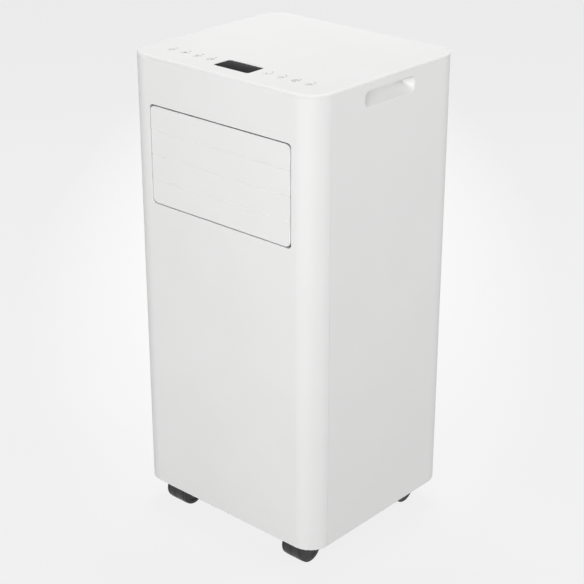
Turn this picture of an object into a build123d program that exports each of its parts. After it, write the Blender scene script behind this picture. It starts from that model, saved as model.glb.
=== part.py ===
from build123d import *
import os

# Cabinet mouldings, millimetres, front face towards -Y, floor at Z = 0
body_width = 330.0
body_depth = 292.0
overall_height = 688.0
floor_gap = 40.0
corner_radius = 31.0
wall = 2.5
seam_gap = 0.4
lap_skin = 1.2
lap_length = 8.0
edge_round = 0.8

# Room between pieces: nested mouldings, turning pins, parts that pass each other
slip = 0.3
run_fit = 0.08
pass_gap = 0.5

# Top cover
cover_edge = 4.0
cover_gap = 0.2
cover_fillet = 2.8
cover_plate = 3.0
cover_rim = 4.0
skirt_depth = 6.0
skirt_wall = 2.0
boss_size = 10.0
boss_drop = 20.0

# Row of keys and display window on the top cover
control_setback = 41.0
keys_per_side = 4
key_first = 50.0
key_end_gap = 43.9
key_radius = 6.0
key_proud = 0.3
key_flange = 1.5
key_flange_thickness = 1.6
key_seat = 0.05
key_stem_radius = 2.0
key_travel = 1.0
key_rest_gap = 0.1
window_width = 61.0
window_depth = 32.0
window_radius = 4.0
window_sink = 0.2
window_flange = 3.0
window_flange_thickness = 1.5

# Display board under the top cover
board_drop = 14.0
board_thickness = 1.6
board_depth = 46.0
board_margin = 16.0
board_post_radius = 3.0
digit_height = 9.0
digit_margin = 4.0
switch_size = 6.0
switch_height = 3.6
plunger_radius = 1.6
plunger_height = 1.4

# Air outlet with its louver blades
aperture_side_gap = 39.0
aperture_height = 140.0
aperture_radius = 6.0
aperture_drop = 62.0
blade_count = 4
blade_thickness = 2.2
blade_edge_gap = 1.5
blade_split = 0.6
blade_corner = 8.0
blade_round = 0.6
pivot_depth = 6.0
pin_radius = 2.0
ear_radius = 3.5
ear_thickness = 3.0
crank_reach = 12.0
crank_width = 6.0
crank_thickness = 3.0
crank_pin_radius = 1.6
link_thickness = 2.5
link_width = 7.0
louver_motor_radius = 14.0
louver_motor_length = 17.0
louver_motor_offset = 14.0
louver_boss_radius = 3.0
louver_pin_grip = 5.0

# Outlet duct and upright guide vanes
duct_wall = 2.5
duct_flange = 6.0
duct_flange_thickness = 2.0
vane_count = 4
vane_side_gap = 45.0
vane_setback = 42.0
vane_depth = 24.0
vane_thickness = 1.8
vane_floor_gap = 7.0
vane_top_gap = 1.5
vane_pin_radius = 1.5
vane_pin_root = 4.0
vane_link_offset = 8.0
vane_link_pin_radius = 1.25
vane_link_width = 6.0
vane_link_thickness = 2.5
vane_link_gap = 1.5

# Finger grip in each side
grip_length = 100.0
grip_height = 21.0
grip_depth = 16.0
grip_slot = 8.0
grip_slot_radius = 3.5
grip_end_slope = 6.0
grip_draft = 0.5
grip_drop = 10.0
grip_radius = 8.0
grip_edge = 1.6

# Rear filter covers, meshes and ledges
upper_cover_side_gap = 41.0
upper_cover_lift = 30.0
upper_cover_rise = 42.0
lower_cover_side_gap = 34.0
lower_cover_collar_gap = 7.0
lower_cover_lift = 35.0
lower_cover_drop = 9.0
cover_corner = 8.0
cover_border = 14.0
cover_slot = 4.0
cover_slot_pitch = 9.0
ledge_width = 5.0
ledge_thickness = 2.0
mesh_thickness = 3.0
mesh_border = 5.0
mesh_cell = 13.0
mesh_thread = 1.2

# Casters
wheel_radius = 21.0
wheel_width = 16.5
wheel_round = 4.0
web_thickness = 3.0
hub_radius = 9.0
hub_dish = 1.2
axle_radius = 3.0
caster_trail = 16.0
caster_side_inset = 50.0
caster_front_inset = 50.0
caster_rear_inset = 62.0
fork_plate = 3.4
fork_width = 20.0
fork_gap = 1.2
stem_radius = 5.0
stem_length = 12.0
socket_wall = 4.0

# Base pan and mid deck
pan_lift = 8.0
pan_floor = 3.0
pan_rim = 27.0
pan_wall = 2.5
column_radius = 6.0
column_side_inset = 12.0
column_end_inset = 26.0
deck_lift = 16.5
deck_floor = 3.0
deck_rim = 17.0

# Coils at the back
coil_gap = 8.0
coil_thickness = 36.0
coil_side_gap = 4.0
evaporator_drop = 18.0
condenser_drop = 10.0
fin_pitch = 8.0
fin_gap = 5.0
fin_depth = 6.0
bend_count = 5
bend_radius = 10.0
tube_radius = 3.5

# Upper fan with its scroll
scroll_gap = 4.0
scroll_depth = 66.0
scroll_wall = 2.5
scroll_foot = 4.0
scroll_foot_width = 90.0
scroll_overlap = 20.0
upper_fan_gap = 24.0
inlet_gap = 46.0
upper_motor_radius = 46.0
upper_motor_length = 52.0
motor_flange = 12.0
motor_flange_thickness = 3.0
shaft_radius = 5.0
shaft_hole_radius = 13.0
fan_blade_count = 28
fan_blade_length = 14.0
fan_blade_thickness = 1.2
fan_plate = 2.5
fan_end_gap = 4.0
fan_hub_radius = 11.0
fan_hub_length = 20.0

# Lower fan with its scroll and exhaust duct
lower_scroll_headroom = 36.0
lower_fan_gap = 26.0
lower_fan_side_gap = 80.0
lower_fan_front_gap = 10.0
lower_motor_radius = 42.0
lower_motor_length = 36.0
exhaust_side_gap = 100.0
exhaust_radius = 62.5
collar_wall = 4.0
collar_length = 8.0
collar_flange = 2.5
collar_flange_thickness = 2.0

# Compressor, its feet, accumulator and pipes
compressor_side_gap = 90.0
compressor_front_gap = 96.0
compressor_radius = 56.0
compressor_headroom = 21.0
compressor_shell = 8.0
compressor_dome = 22.0
foot_radius = 12.0
foot_height = 14.0
foot_circle = 62.0
foot_plate = 3.0
accumulator_dx = 50.0
accumulator_dy = 62.0
accumulator_radius = 20.0
accumulator_lift = 59.0
accumulator_drop = 27.0
strap_width = 12.0
strap_height = 10.0
pipe_radius = 4.0
pipe_bend = 8.0
pipe_hole_radius = 10.0
pipe_drop = 5.0
pipe_side_gap = 18.0
discharge_offset = 15.0
liquid_inset = 19.0
liquid_drop = 10.0
port_inset = 10.0
port_height = 24.0

# Slinger wheel in the base pan
slinger_radius = 30.0
slinger_lift = 6.0
slinger_thickness = 6.0
slinger_gap = 6.0
slinger_notches = 10
slinger_notch = 6.0
slinger_motor_radius = 18.0
slinger_motor_length = 28.0
slinger_shaft_radius = 2.5
slinger_bracket = 4.0

# Control box with its board and capacitor
control_box_width = 110.0
control_box_depth = 66.0
control_box_height = 130.0
control_box_side_gap = 103.0
control_box_gap = 12.0
control_box_wall = 2.0
control_board_margin = 10.0
control_chip = 24.0
control_chip_height = 12.0
capacitor_radius = 20.0
capacitor_height = 72.0
capacitor_gap = 32.0

# Drains, cord gland and screws on the back
drain_side_gap = 53.0
drain_radius = 4.5
drain_cap_radius = 9.0
drain_cap = 2.0
drain_reach = 8.0
pan_drain_rise = 8.0
deck_drain_rise = 7.0
gland_side_gap = 53.0
gland_z = 92.0
gland_bore = 4.0
gland_wall = 3.0
gland_flange = 3.0
gland_lip = 1.5
screw_side_gap = 38.0
screw_radius = 1.75
screw_length = 11.0
screw_head_radius = 3.6
screw_head = 1.8
screw_sink = 1.4
screw_slot = 0.8
top_screw_drop = 12.0
pan_screw_rise = 16.0

# Places worked out from the sizes above
side_x = body_width / 2
front_y = -body_depth / 2
back_y = body_depth / 2
inner_side = side_x - wall
inner_front = front_y + wall
inner_back = back_y - wall
seam_y = front_y + corner_radius
shell_top = overall_height - cover_edge
shell_height = shell_top - floor_gap
plate_under = overall_height - cover_plate
control_y = front_y + control_setback
key_pitch = (side_x - key_end_gap - key_first) / (keys_per_side - 1)
key_places = [key_first + key_pitch * i for i in range(keys_per_side)]
key_places = [-x for x in reversed(key_places)] + key_places
board_top = plate_under - board_drop
inner_post = window_width / 2 + window_flange + slip + board_post_radius
outer_post = key_places[-1] + key_radius + key_flange + slip + board_post_radius
boss_y = inner_back - slip - boss_size / 2

aperture_width = body_width - 2 * aperture_side_gap
aperture_z = shell_top - aperture_drop - aperture_height / 2
aperture_bottom = aperture_z - aperture_height / 2
aperture_top = aperture_z + aperture_height / 2
blade_room = aperture_height - 2 * blade_edge_gap - (blade_count - 1) * blade_split
blade_height = blade_room / blade_count
blade_pitch = blade_height + blade_split
blade_length = aperture_width - 2 * blade_edge_gap
blade_zs = [aperture_z + blade_pitch * ((blade_count - 1) / 2 - i) for i in range(blade_count)]
pivot_y = front_y + pivot_depth
duct_half = aperture_width / 2 + duct_wall
crank_x = -(duct_half + pass_gap)
link_x = crank_x - crank_thickness - pass_gap
vane_pitch = (aperture_width - 2 * vane_side_gap) / (vane_count - 1)
vane_xs = [vane_pitch * (i - (vane_count - 1) / 2) for i in range(vane_count)]
vane_y = front_y + vane_setback
vane_bottom = aperture_bottom + vane_floor_gap
vane_top = aperture_top - vane_top_gap
vane_link_top = vane_bottom - vane_link_gap

grip_z = shell_top - grip_drop - grip_height / 2
grip_bottom = grip_z - grip_height / 2
grip_top = grip_z + grip_height / 2

pan_bottom = floor_gap + pan_lift
pan_top = pan_bottom + pan_floor
deck_z = (pan_top + aperture_bottom) / 2 + deck_lift
deck_top = deck_z + deck_floor
pan_drain_z = pan_top + pan_drain_rise
deck_drain_z = deck_top + deck_drain_rise
drain_x = side_x - drain_side_gap
gland_x = gland_side_gap - side_x
screw_x = side_x - screw_side_gap
top_screw_z = shell_top - top_screw_drop
pan_screw_z = pan_top + pan_screw_rise

exhaust_x = exhaust_side_gap - side_x
collar_front = back_y - collar_length
collar_edge = exhaust_x + exhaust_radius + collar_wall + collar_flange
upper_cover_width = body_width - 2 * upper_cover_side_gap
upper_cover_bottom = deck_top + upper_cover_lift
upper_cover_top = aperture_bottom + upper_cover_rise
upper_cover_height = upper_cover_top - upper_cover_bottom
upper_cover_z = (upper_cover_bottom + upper_cover_top) / 2
lower_cover_left = collar_edge + lower_cover_collar_gap
lower_cover_right = side_x - lower_cover_side_gap
lower_cover_width = lower_cover_right - lower_cover_left
lower_cover_x = (lower_cover_left + lower_cover_right) / 2
lower_cover_bottom = pan_top + lower_cover_lift
lower_cover_top = deck_z - lower_cover_drop
lower_cover_height = lower_cover_top - lower_cover_bottom
lower_cover_z = (lower_cover_bottom + lower_cover_top) / 2

coil_back = inner_back - mesh_thickness - coil_gap
coil_front = coil_back - coil_thickness
coil_y = (coil_back + coil_front) / 2
port_y = coil_y - port_inset
evaporator_width = upper_cover_width - 2 * coil_side_gap
evaporator_height = upper_cover_top - evaporator_drop - deck_top
condenser_width = lower_cover_width - 2 * coil_side_gap
condenser_height = deck_z - condenser_drop - pan_top
condenser_x = lower_cover_x

scroll_back = coil_front - scroll_gap
scroll_front = scroll_back - scroll_depth
fan_width = scroll_depth - 2 * scroll_wall - 2 * fan_end_gap
upper_scroll_radius = (aperture_bottom - deck_top + scroll_overlap) / 2
upper_fan_radius = upper_scroll_radius - upper_fan_gap
upper_inlet_radius = upper_scroll_radius - inlet_gap
upper_fan_z = deck_top + scroll_foot + upper_scroll_radius
lower_scroll_radius = (deck_z - pan_top - scroll_foot - lower_scroll_headroom) / 2
lower_fan_radius = lower_scroll_radius - lower_fan_gap
lower_inlet_radius = lower_scroll_radius - inlet_gap
lower_fan_x = lower_fan_side_gap - side_x
lower_fan_y = inner_front + lower_fan_front_gap + lower_scroll_radius
lower_fan_z = pan_top + scroll_foot + lower_scroll_radius
lower_scroll_left = lower_fan_x - scroll_depth / 2
exhaust_z = lower_fan_z + lower_scroll_radius / 2

compressor_x = side_x - compressor_side_gap
compressor_y = front_y + compressor_front_gap
compressor_bottom = pan_top + foot_height
compressor_top = deck_z - compressor_headroom
compressor_height = compressor_top - compressor_bottom - foot_plate
accumulator_bottom = pan_top + accumulator_lift
accumulator_top = compressor_top - accumulator_drop
accumulator_height = accumulator_top - accumulator_bottom
control_box_x = control_box_side_gap - side_x
capacitor_x = control_box_x + control_box_width / 2 + capacitor_gap + capacitor_radius


def level(z):
    """Flat plane at a height, normal up."""
    return Plane.XY.offset(z)


def facing(y):
    """Upright plane across the body at a depth, normal to the front."""
    return Plane.XZ.offset(-y)


def side_on(x):
    """Upright plane along the body, normal to +X."""
    return Plane.YZ.offset(x)


def outline(inset, mode=Mode.ADD):
    """Plan of the cabinet, drawn inside its outer face by the inset."""
    width = body_width - 2 * inset
    depth = body_depth - 2 * inset
    RectangleRounded(width, depth, corner_radius - inset, mode=mode)


def keep(piece, name):
    """Label a finished piece and write it to its own file."""
    piece.part.label = name
    export_step(piece.part, f"parts/{name}.step")


os.makedirs("parts", exist_ok=True)

# Front panel: wraps both front corners, thinned at its edges for the lap joint
with BuildPart() as front_panel:
    with BuildSketch(level(floor_gap)):
        outline(0)
        with Locations((0, front_y)):
            Rectangle(2 * body_width, 2 * corner_radius, mode=Mode.INTERSECT)
    extrude(amount=shell_height)
    ends = front_panel.edges().group_by(Axis.Z)
    fillet(ends[0].sort_by(Axis.Y)[:-1] + ends[-1].sort_by(Axis.Y)[:-1], edge_round)
    with BuildSketch(level(floor_gap)):
        outline(wall)
    extrude(amount=shell_height, mode=Mode.SUBTRACT)
    with BuildSketch(level(floor_gap)):
        outline(lap_skin)
        with Locations((0, seam_y)):
            Rectangle(2 * body_width, 2 * (lap_length + slip), mode=Mode.INTERSECT)
    extrude(amount=shell_height, mode=Mode.SUBTRACT)
    with BuildSketch(facing(front_y)):
        with Locations((0, aperture_z)):
            RectangleRounded(aperture_width, aperture_height, aperture_radius)
    extrude(amount=-wall, mode=Mode.SUBTRACT)
    fillet(front_panel.faces().sort_by(Axis.Y)[0].inner_wires()[0].edges(), edge_round)
keep(front_panel, "front_panel")

# Hollow of the right-hand finger grip: a scoop that narrows to a slot under its top edge
with BuildPart() as grip_hollow:
    with BuildSketch(side_on(side_x)):
        with Locations((0, grip_z)):
            RectangleRounded(grip_length, grip_height, grip_radius)
    with BuildSketch(side_on(side_x - grip_depth)):
        with Locations((0, grip_top - grip_draft - grip_slot / 2)):
            RectangleRounded(grip_length - 2 * grip_end_slope, grip_slot, grip_slot_radius)
    loft()
grip_hollow_left = mirror(grip_hollow.part, about=Plane.YZ)

# Rear cabinet: both sides and the back in one moulding
with BuildPart() as rear_cabinet:
    with BuildSketch(level(floor_gap)):
        outline(0)
        with Locations((0, seam_y + seam_gap + body_depth)):
            Rectangle(2 * body_width, 2 * body_depth, mode=Mode.INTERSECT)
    extrude(amount=shell_height)
    ends = rear_cabinet.edges().group_by(Axis.Z)
    fillet(ends[0].sort_by(Axis.Y)[1:] + ends[-1].sort_by(Axis.Y)[1:], edge_round)
    with BuildSketch(level(floor_gap)):
        outline(wall)
    extrude(amount=shell_height, mode=Mode.SUBTRACT)
    with BuildSketch(level(floor_gap)):
        outline(lap_skin + slip)
        outline(wall, Mode.SUBTRACT)
        with Locations((0, seam_y + (seam_gap - lap_length) / 2)):
            Rectangle(2 * body_width, lap_length + seam_gap, mode=Mode.INTERSECT)
    extrude(amount=shell_height)
    for side in (-1, 1):
        with BuildSketch(side_on(side * inner_side)):
            with Locations((0, grip_z)):
                RectangleRounded(
                    grip_length + 2 * wall, grip_height + 2 * wall, grip_radius + wall
                )
        extrude(amount=-side * grip_depth)
    add(grip_hollow.part, mode=Mode.SUBTRACT)
    add(grip_hollow_left, mode=Mode.SUBTRACT)
    mouths = rear_cabinet.edges().filter_by_position(Axis.Z, grip_bottom - wall, grip_top + wall)
    fillet(mouths.group_by(Axis.X)[0] + mouths.group_by(Axis.X)[-1], grip_edge)
    with BuildSketch(facing(inner_back)):
        with Locations((0, upper_cover_z)):
            RectangleRounded(
                upper_cover_width + 2 * ledge_width,
                upper_cover_height + 2 * ledge_width,
                cover_corner,
            )
        with Locations((lower_cover_x, lower_cover_z)):
            RectangleRounded(
                lower_cover_width + 2 * ledge_width,
                lower_cover_height + 2 * ledge_width,
                cover_corner,
            )
    extrude(amount=ledge_thickness)
    with BuildSketch(facing(back_y)):
        with Locations((0, upper_cover_z)):
            RectangleRounded(
                upper_cover_width + 2 * seam_gap,
                upper_cover_height + 2 * seam_gap,
                cover_corner,
            )
        with Locations((lower_cover_x, lower_cover_z)):
            RectangleRounded(
                lower_cover_width + 2 * seam_gap,
                lower_cover_height + 2 * seam_gap,
                cover_corner,
            )
        with Locations((screw_x, top_screw_z), (-screw_x, top_screw_z)):
            Circle(screw_radius + slip)
        with Locations((screw_x, pan_screw_z), (-screw_x, pan_screw_z)):
            Circle(screw_radius + slip)
        with Locations((drain_x, pan_drain_z), (drain_x, deck_drain_z)):
            Circle(drain_radius + slip)
        with Locations((exhaust_x, exhaust_z)):
            Circle(exhaust_radius + collar_wall + slip)
        with Locations((gland_x, gland_z)):
            Circle(gland_bore + gland_wall)
    extrude(amount=wall, mode=Mode.SUBTRACT)
    with BuildSketch(facing(inner_back)):
        with Locations((0, upper_cover_z)):
            RectangleRounded(
                upper_cover_width - 2 * ledge_width,
                upper_cover_height - 2 * ledge_width,
                cover_corner,
            )
        with Locations((lower_cover_x, lower_cover_z)):
            RectangleRounded(
                lower_cover_width - 2 * ledge_width,
                lower_cover_height - 2 * ledge_width,
                cover_corner,
            )
    extrude(amount=ledge_thickness, mode=Mode.SUBTRACT)
    with BuildSketch(facing(back_y)):
        with Locations((screw_x, top_screw_z), (-screw_x, top_screw_z)):
            Circle(screw_head_radius + slip)
        with Locations((screw_x, pan_screw_z), (-screw_x, pan_screw_z)):
            Circle(screw_head_radius + slip)
    extrude(amount=screw_sink, mode=Mode.SUBTRACT)
keep(rear_cabinet, "rear_cabinet")

# Top cover: shallow lid with a soft edge, a skirt inside the cabinet and screw bosses
with BuildPart() as top_cover:
    with BuildSketch(level(shell_top + cover_gap)):
        outline(0)
    extrude(amount=cover_edge - cover_gap)
    fillet(top_cover.faces().sort_by(Axis.Z)[-1].edges(), cover_fillet)
    with BuildSketch(level(shell_top + cover_gap)):
        outline(cover_rim)
    extrude(amount=cover_edge - cover_gap - cover_plate, mode=Mode.SUBTRACT)
    with BuildSketch(level(shell_top - skirt_depth)):
        outline(wall + slip)
        outline(wall + slip + skirt_wall, Mode.SUBTRACT)
    extrude(amount=skirt_depth + cover_edge - cover_plate)
    with BuildSketch(level(shell_top - boss_drop)):
        with Locations((screw_x, boss_y), (-screw_x, boss_y)):
            Rectangle(boss_size, boss_size)
    extrude(amount=boss_drop + cover_edge - cover_plate)
    with BuildSketch(facing(inner_back)):
        with Locations((screw_x, top_screw_z), (-screw_x, top_screw_z)):
            Circle(screw_radius + run_fit)
    extrude(amount=screw_length, mode=Mode.SUBTRACT)
    with BuildSketch(level(board_top)):
        with Locations([(x, control_y) for x in (-outer_post, -inner_post, inner_post, outer_post)]):
            Circle(board_post_radius)
    extrude(amount=board_drop)
    with BuildSketch(level(overall_height)):
        with Locations((0, control_y)):
            RectangleRounded(
                window_width + 2 * slip, window_depth + 2 * slip, window_radius + slip
            )
        with Locations([(x, control_y) for x in key_places]):
            Circle(key_radius + slip)
    extrude(amount=-cover_plate, mode=Mode.SUBTRACT)
keep(top_cover, "top_cover")

# Display window: smoked lens let into the cover, held by a flange underneath
with BuildPart() as display_window:
    with BuildSketch(level(plate_under)):
        with Locations((0, control_y)):
            RectangleRounded(window_width, window_depth, window_radius)
    extrude(amount=cover_plate - window_sink)
    with BuildSketch(level(plate_under)):
        with Locations((0, control_y)):
            RectangleRounded(
                window_width + 2 * window_flange,
                window_depth + 2 * window_flange,
                window_radius + window_flange,
            )
    extrude(amount=-window_flange_thickness)
keep(display_window, "display_window")

# Display board: circuit board with the digit block and one switch under each key
with BuildPart() as display_board:
    with BuildSketch(level(board_top)):
        with Locations((0, control_y)):
            Rectangle(2 * (key_places[-1] + board_margin), board_depth)
    extrude(amount=-board_thickness)
    with BuildSketch(level(board_top)):
        with Locations((0, control_y)):
            Rectangle(window_width - 2 * digit_margin, window_depth - 2 * digit_margin)
    extrude(amount=digit_height)
    with BuildSketch(level(board_top)):
        with Locations([(x, control_y) for x in key_places]):
            Rectangle(switch_size, switch_size)
    extrude(amount=switch_height)
    with BuildSketch(level(board_top)):
        with Locations([(x, control_y) for x in key_places]):
            Circle(plunger_radius)
    extrude(amount=switch_height + plunger_height)
keep(display_board, "display_board")

# Keys: round caps with a flange under the cover and a stem above each switch
key_names = ("power", "mode", "fan", "timer", "down", "up", "sleep", "swing")
key_stem_bottom = board_top + switch_height + plunger_height + key_travel + key_rest_gap
key_flange_top = plate_under - key_seat
for key_name, key_x in zip(key_names, key_places):
    with BuildPart() as key:
        with BuildSketch(level(key_flange_top)):
            with Locations((key_x, control_y)):
                Circle(key_radius)
        extrude(amount=overall_height + key_proud - key_flange_top)
        with BuildSketch(level(key_flange_top)):
            with Locations((key_x, control_y)):
                Circle(key_radius + key_flange)
        extrude(amount=-key_flange_thickness)
        with BuildSketch(level(key_stem_bottom)):
            with Locations((key_x, control_y)):
                Circle(key_stem_radius)
        extrude(amount=key_flange_top - key_stem_bottom)
    keep(key, f"key_{key_name}")

# Outlet frame: duct from the front panel to the scroll, with all pivot holes
with BuildPart() as outlet_frame:
    with BuildSketch(facing(inner_front)):
        with Locations((0, aperture_z)):
            RectangleRounded(
                aperture_width + 2 * duct_wall,
                aperture_height + 2 * duct_wall,
                aperture_radius + duct_wall,
            )
            RectangleRounded(
                aperture_width, aperture_height, aperture_radius, mode=Mode.SUBTRACT
            )
    extrude(amount=inner_front - scroll_front)
    with BuildSketch(facing(inner_front)):
        with Locations((0, aperture_z)):
            Rectangle(aperture_width, aperture_height + 2 * (duct_wall + duct_flange))
            Rectangle(aperture_width, aperture_height + duct_wall, mode=Mode.SUBTRACT)
    extrude(amount=-duct_flange_thickness)
    with BuildSketch(Plane.YZ):
        with Locations([(pivot_y, z) for z in blade_zs]):
            Circle(pin_radius + run_fit)
    extrude(amount=body_width, both=True, mode=Mode.SUBTRACT)
    with BuildSketch(level(aperture_z)):
        with Locations([(x, vane_y) for x in vane_xs]):
            Circle(vane_pin_radius + run_fit)
    extrude(amount=aperture_height, both=True, mode=Mode.SUBTRACT)
keep(outlet_frame, "outlet_frame")

# Louver blades: flush slats with end ears, pivot pins and a crank outside the duct
for index, blade_z in enumerate(blade_zs):
    drives = index == 1
    with BuildPart() as blade:
        with BuildSketch(facing(front_y)) as slat:
            with Locations((0, blade_z)):
                Rectangle(blade_length, blade_height)
            if index == 0:
                fillet(slat.vertices().group_by(Axis.Y)[-1], blade_corner)
            if index == blade_count - 1:
                fillet(slat.vertices().group_by(Axis.Y)[0], blade_corner)
        extrude(amount=-blade_thickness)
        fillet(blade.faces().sort_by(Axis.Y)[0].edges(), blade_round)
        for side in (-1, 1):
            with BuildSketch(side_on(side * blade_length / 2)):
                with Locations((pivot_y, blade_z)):
                    Circle(ear_radius)
                with Locations((pivot_y - (pivot_depth - blade_thickness) / 2, blade_z)):
                    Rectangle(pivot_depth - blade_thickness, 2 * ear_radius)
            extrude(amount=-side * ear_thickness)
        right_pin_end = duct_half + (louver_pin_grip if drives else 0)
        for start, end in ((-blade_length / 2, crank_x), (blade_length / 2, right_pin_end)):
            with BuildSketch(side_on(start)):
                with Locations((pivot_y, blade_z)):
                    Circle(pin_radius)
            extrude(amount=end - start)
        with BuildSketch(side_on(crank_x)):
            with Locations((pivot_y + crank_reach / 2, blade_z)):
                SlotCenterToCenter(crank_reach, crank_width)
        extrude(amount=-crank_thickness)
        with BuildSketch(side_on(crank_x - crank_thickness)):
            with Locations((pivot_y + crank_reach, blade_z)):
                Circle(crank_pin_radius)
        extrude(amount=-(link_thickness + 2 * pass_gap))
    keep(blade, f"louver_blade_{index + 1}")

# Louver link: bar on the crank pins that turns all the blades together
with BuildPart() as louver_link:
    with BuildSketch(side_on(link_x)):
        with Locations((pivot_y + crank_reach, aperture_z)):
            SlotCenterToCenter((blade_count - 1) * blade_pitch, link_width, rotation=90)
        with Locations([(pivot_y + crank_reach, z) for z in blade_zs]):
            Circle(crank_pin_radius + run_fit, mode=Mode.SUBTRACT)
    extrude(amount=-link_thickness)
keep(louver_link, "louver_link")

# Louver motor: geared motor whose output boss takes the second blade's pin
with BuildPart() as louver_motor:
    with BuildSketch(side_on(duct_half)):
        with Locations((pivot_y + louver_motor_offset, blade_zs[1])):
            Circle(louver_motor_radius)
    extrude(amount=louver_motor_length)
    with BuildSketch(side_on(duct_half)):
        with Locations((pivot_y, blade_zs[1])):
            Circle(louver_boss_radius)
    extrude(amount=louver_pin_grip + pass_gap + duct_wall)
    with BuildSketch(side_on(duct_half)):
        with Locations((pivot_y, blade_zs[1])):
            Circle(pin_radius + run_fit)
    extrude(amount=louver_pin_grip + pass_gap, mode=Mode.SUBTRACT)
keep(louver_motor, "louver_motor")

# Guide vanes: upright blades behind the louver, each with a pin for the link bar
for index, vane_x in enumerate(vane_xs):
    with BuildPart() as vane:
        with BuildSketch(level(vane_bottom)):
            with Locations((vane_x, vane_y)):
                SlotOverall(vane_depth, vane_thickness, rotation=90)
        extrude(amount=vane_top - vane_bottom)
        with BuildSketch(level(aperture_bottom - duct_wall)):
            with Locations((vane_x, vane_y)):
                Circle(vane_pin_radius)
        extrude(amount=duct_wall + vane_floor_gap + vane_pin_root)
        with BuildSketch(level(aperture_top + duct_wall)):
            with Locations((vane_x, vane_y)):
                Circle(vane_pin_radius)
        extrude(amount=-(duct_wall + vane_top_gap + vane_pin_root))
        with BuildSketch(level(vane_bottom + vane_pin_root)):
            with Locations((vane_x, vane_y + vane_link_offset)):
                Circle(vane_link_pin_radius)
        extrude(amount=-(vane_pin_root + vane_link_gap + vane_link_thickness + pass_gap))
    keep(vane, f"vane_{index + 1}")

# Vane link: bar under the vanes that swings them together
with BuildPart() as vane_link:
    with BuildSketch(level(vane_link_top)):
        with Locations((0, vane_y + vane_link_offset)):
            SlotCenterToCenter((vane_count - 1) * vane_pitch, vane_link_width)
        with Locations([(x, vane_y + vane_link_offset) for x in vane_xs]):
            Circle(vane_link_pin_radius + run_fit, mode=Mode.SUBTRACT)
    extrude(amount=-vane_link_thickness)
keep(vane_link, "vane_link")

# Base pan: tray with caster sockets underneath and columns that carry the deck
caster_x = side_x - caster_side_inset
front_caster_y = front_y + caster_front_inset
rear_caster_y = back_y - caster_rear_inset
stem_places = [(x, y) for x in (-caster_x, caster_x) for y in (front_caster_y, rear_caster_y)]
column_x = side_x - column_side_inset
column_y = body_depth / 2 - column_end_inset
with BuildPart() as base_pan:
    with BuildSketch(level(pan_bottom)):
        outline(wall + slip)
    extrude(amount=pan_rim)
    with BuildSketch(level(pan_top)):
        outline(wall + slip + pan_wall)
    extrude(amount=pan_rim, mode=Mode.SUBTRACT)
    with BuildSketch(level(pan_bottom)):
        with Locations(stem_places):
            Circle(stem_radius + socket_wall)
    extrude(amount=stem_length + socket_wall)
    with BuildSketch(level(pan_bottom)):
        with Locations(stem_places):
            Circle(stem_radius + run_fit)
    extrude(amount=stem_length + pass_gap, mode=Mode.SUBTRACT)
    with BuildSketch(level(pan_bottom)):
        with GridLocations(2 * column_x, 2 * column_y, 2, 2):
            Circle(column_radius)
    extrude(amount=deck_z - pan_bottom)
    with BuildSketch(level(pan_top)):
        with Locations((screw_x, boss_y), (-screw_x, boss_y)):
            Rectangle(boss_size, boss_size)
    extrude(amount=pan_rim - pan_floor)
    with BuildSketch(facing(inner_back)):
        with Locations((screw_x, pan_screw_z), (-screw_x, pan_screw_z)):
            Circle(screw_radius + run_fit)
    extrude(amount=screw_length, mode=Mode.SUBTRACT)
    with BuildSketch(facing(inner_back)):
        with Locations((drain_x, pan_drain_z)):
            Circle(drain_radius + run_fit)
    extrude(amount=drain_reach, mode=Mode.SUBTRACT)
keep(base_pan, "base_pan")

# Mid deck: drip tray on the columns, with holes for the pipes that pass it
evaporator_end = evaporator_width / 2
suction_x = evaporator_end + pipe_side_gap
liquid_x = -suction_x
with BuildPart() as mid_deck:
    with BuildSketch(level(deck_z)):
        outline(wall + slip)
    extrude(amount=deck_rim)
    with BuildSketch(level(deck_top)):
        outline(wall + slip + pan_wall)
    extrude(amount=deck_rim, mode=Mode.SUBTRACT)
    with BuildSketch(level(deck_z)):
        with Locations((suction_x, port_y), (liquid_x, port_y)):
            Circle(pipe_hole_radius)
    extrude(amount=deck_floor, mode=Mode.SUBTRACT)
    with BuildSketch(facing(inner_back)):
        with Locations((drain_x, deck_drain_z)):
            Circle(drain_radius + run_fit)
    extrude(amount=drain_reach, mode=Mode.SUBTRACT)
keep(mid_deck, "mid_deck")


def coil_block(middle, bottom, width, height):
    """Finned coil with return bends at both ends."""
    fins = int(width / fin_pitch) - 1
    spacing = height / bend_count
    with BuildPart() as coil:
        with BuildSketch(facing(coil_back)):
            with Locations((middle, bottom + height / 2)):
                Rectangle(width, height)
        extrude(amount=coil_thickness)
        with BuildSketch(facing(coil_back)):
            with Locations((middle, bottom + height / 2)):
                with GridLocations(fin_pitch, fin_pitch, fins, 1):
                    Rectangle(fin_gap, height)
        extrude(amount=fin_depth, mode=Mode.SUBTRACT)
        for end in (-1, 1):
            end_x = middle + end * width / 2
            for row in range(bend_count):
                bend_z = bottom + spacing * (row + 1 / 2)
                with BuildSketch(side_on(end_x)):
                    with Locations((coil_y, bend_z + bend_radius)):
                        Circle(tube_radius)
                revolve(axis=Axis((end_x, coil_y, bend_z), (0, end, 0)), revolution_arc=180)
    return coil


# Evaporator on the mid deck and condenser in the base pan
keep(coil_block(0, deck_top, evaporator_width, evaporator_height), "evaporator_coil")
keep(coil_block(condenser_x, pan_top, condenser_width, condenser_height), "condenser_coil")

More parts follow.
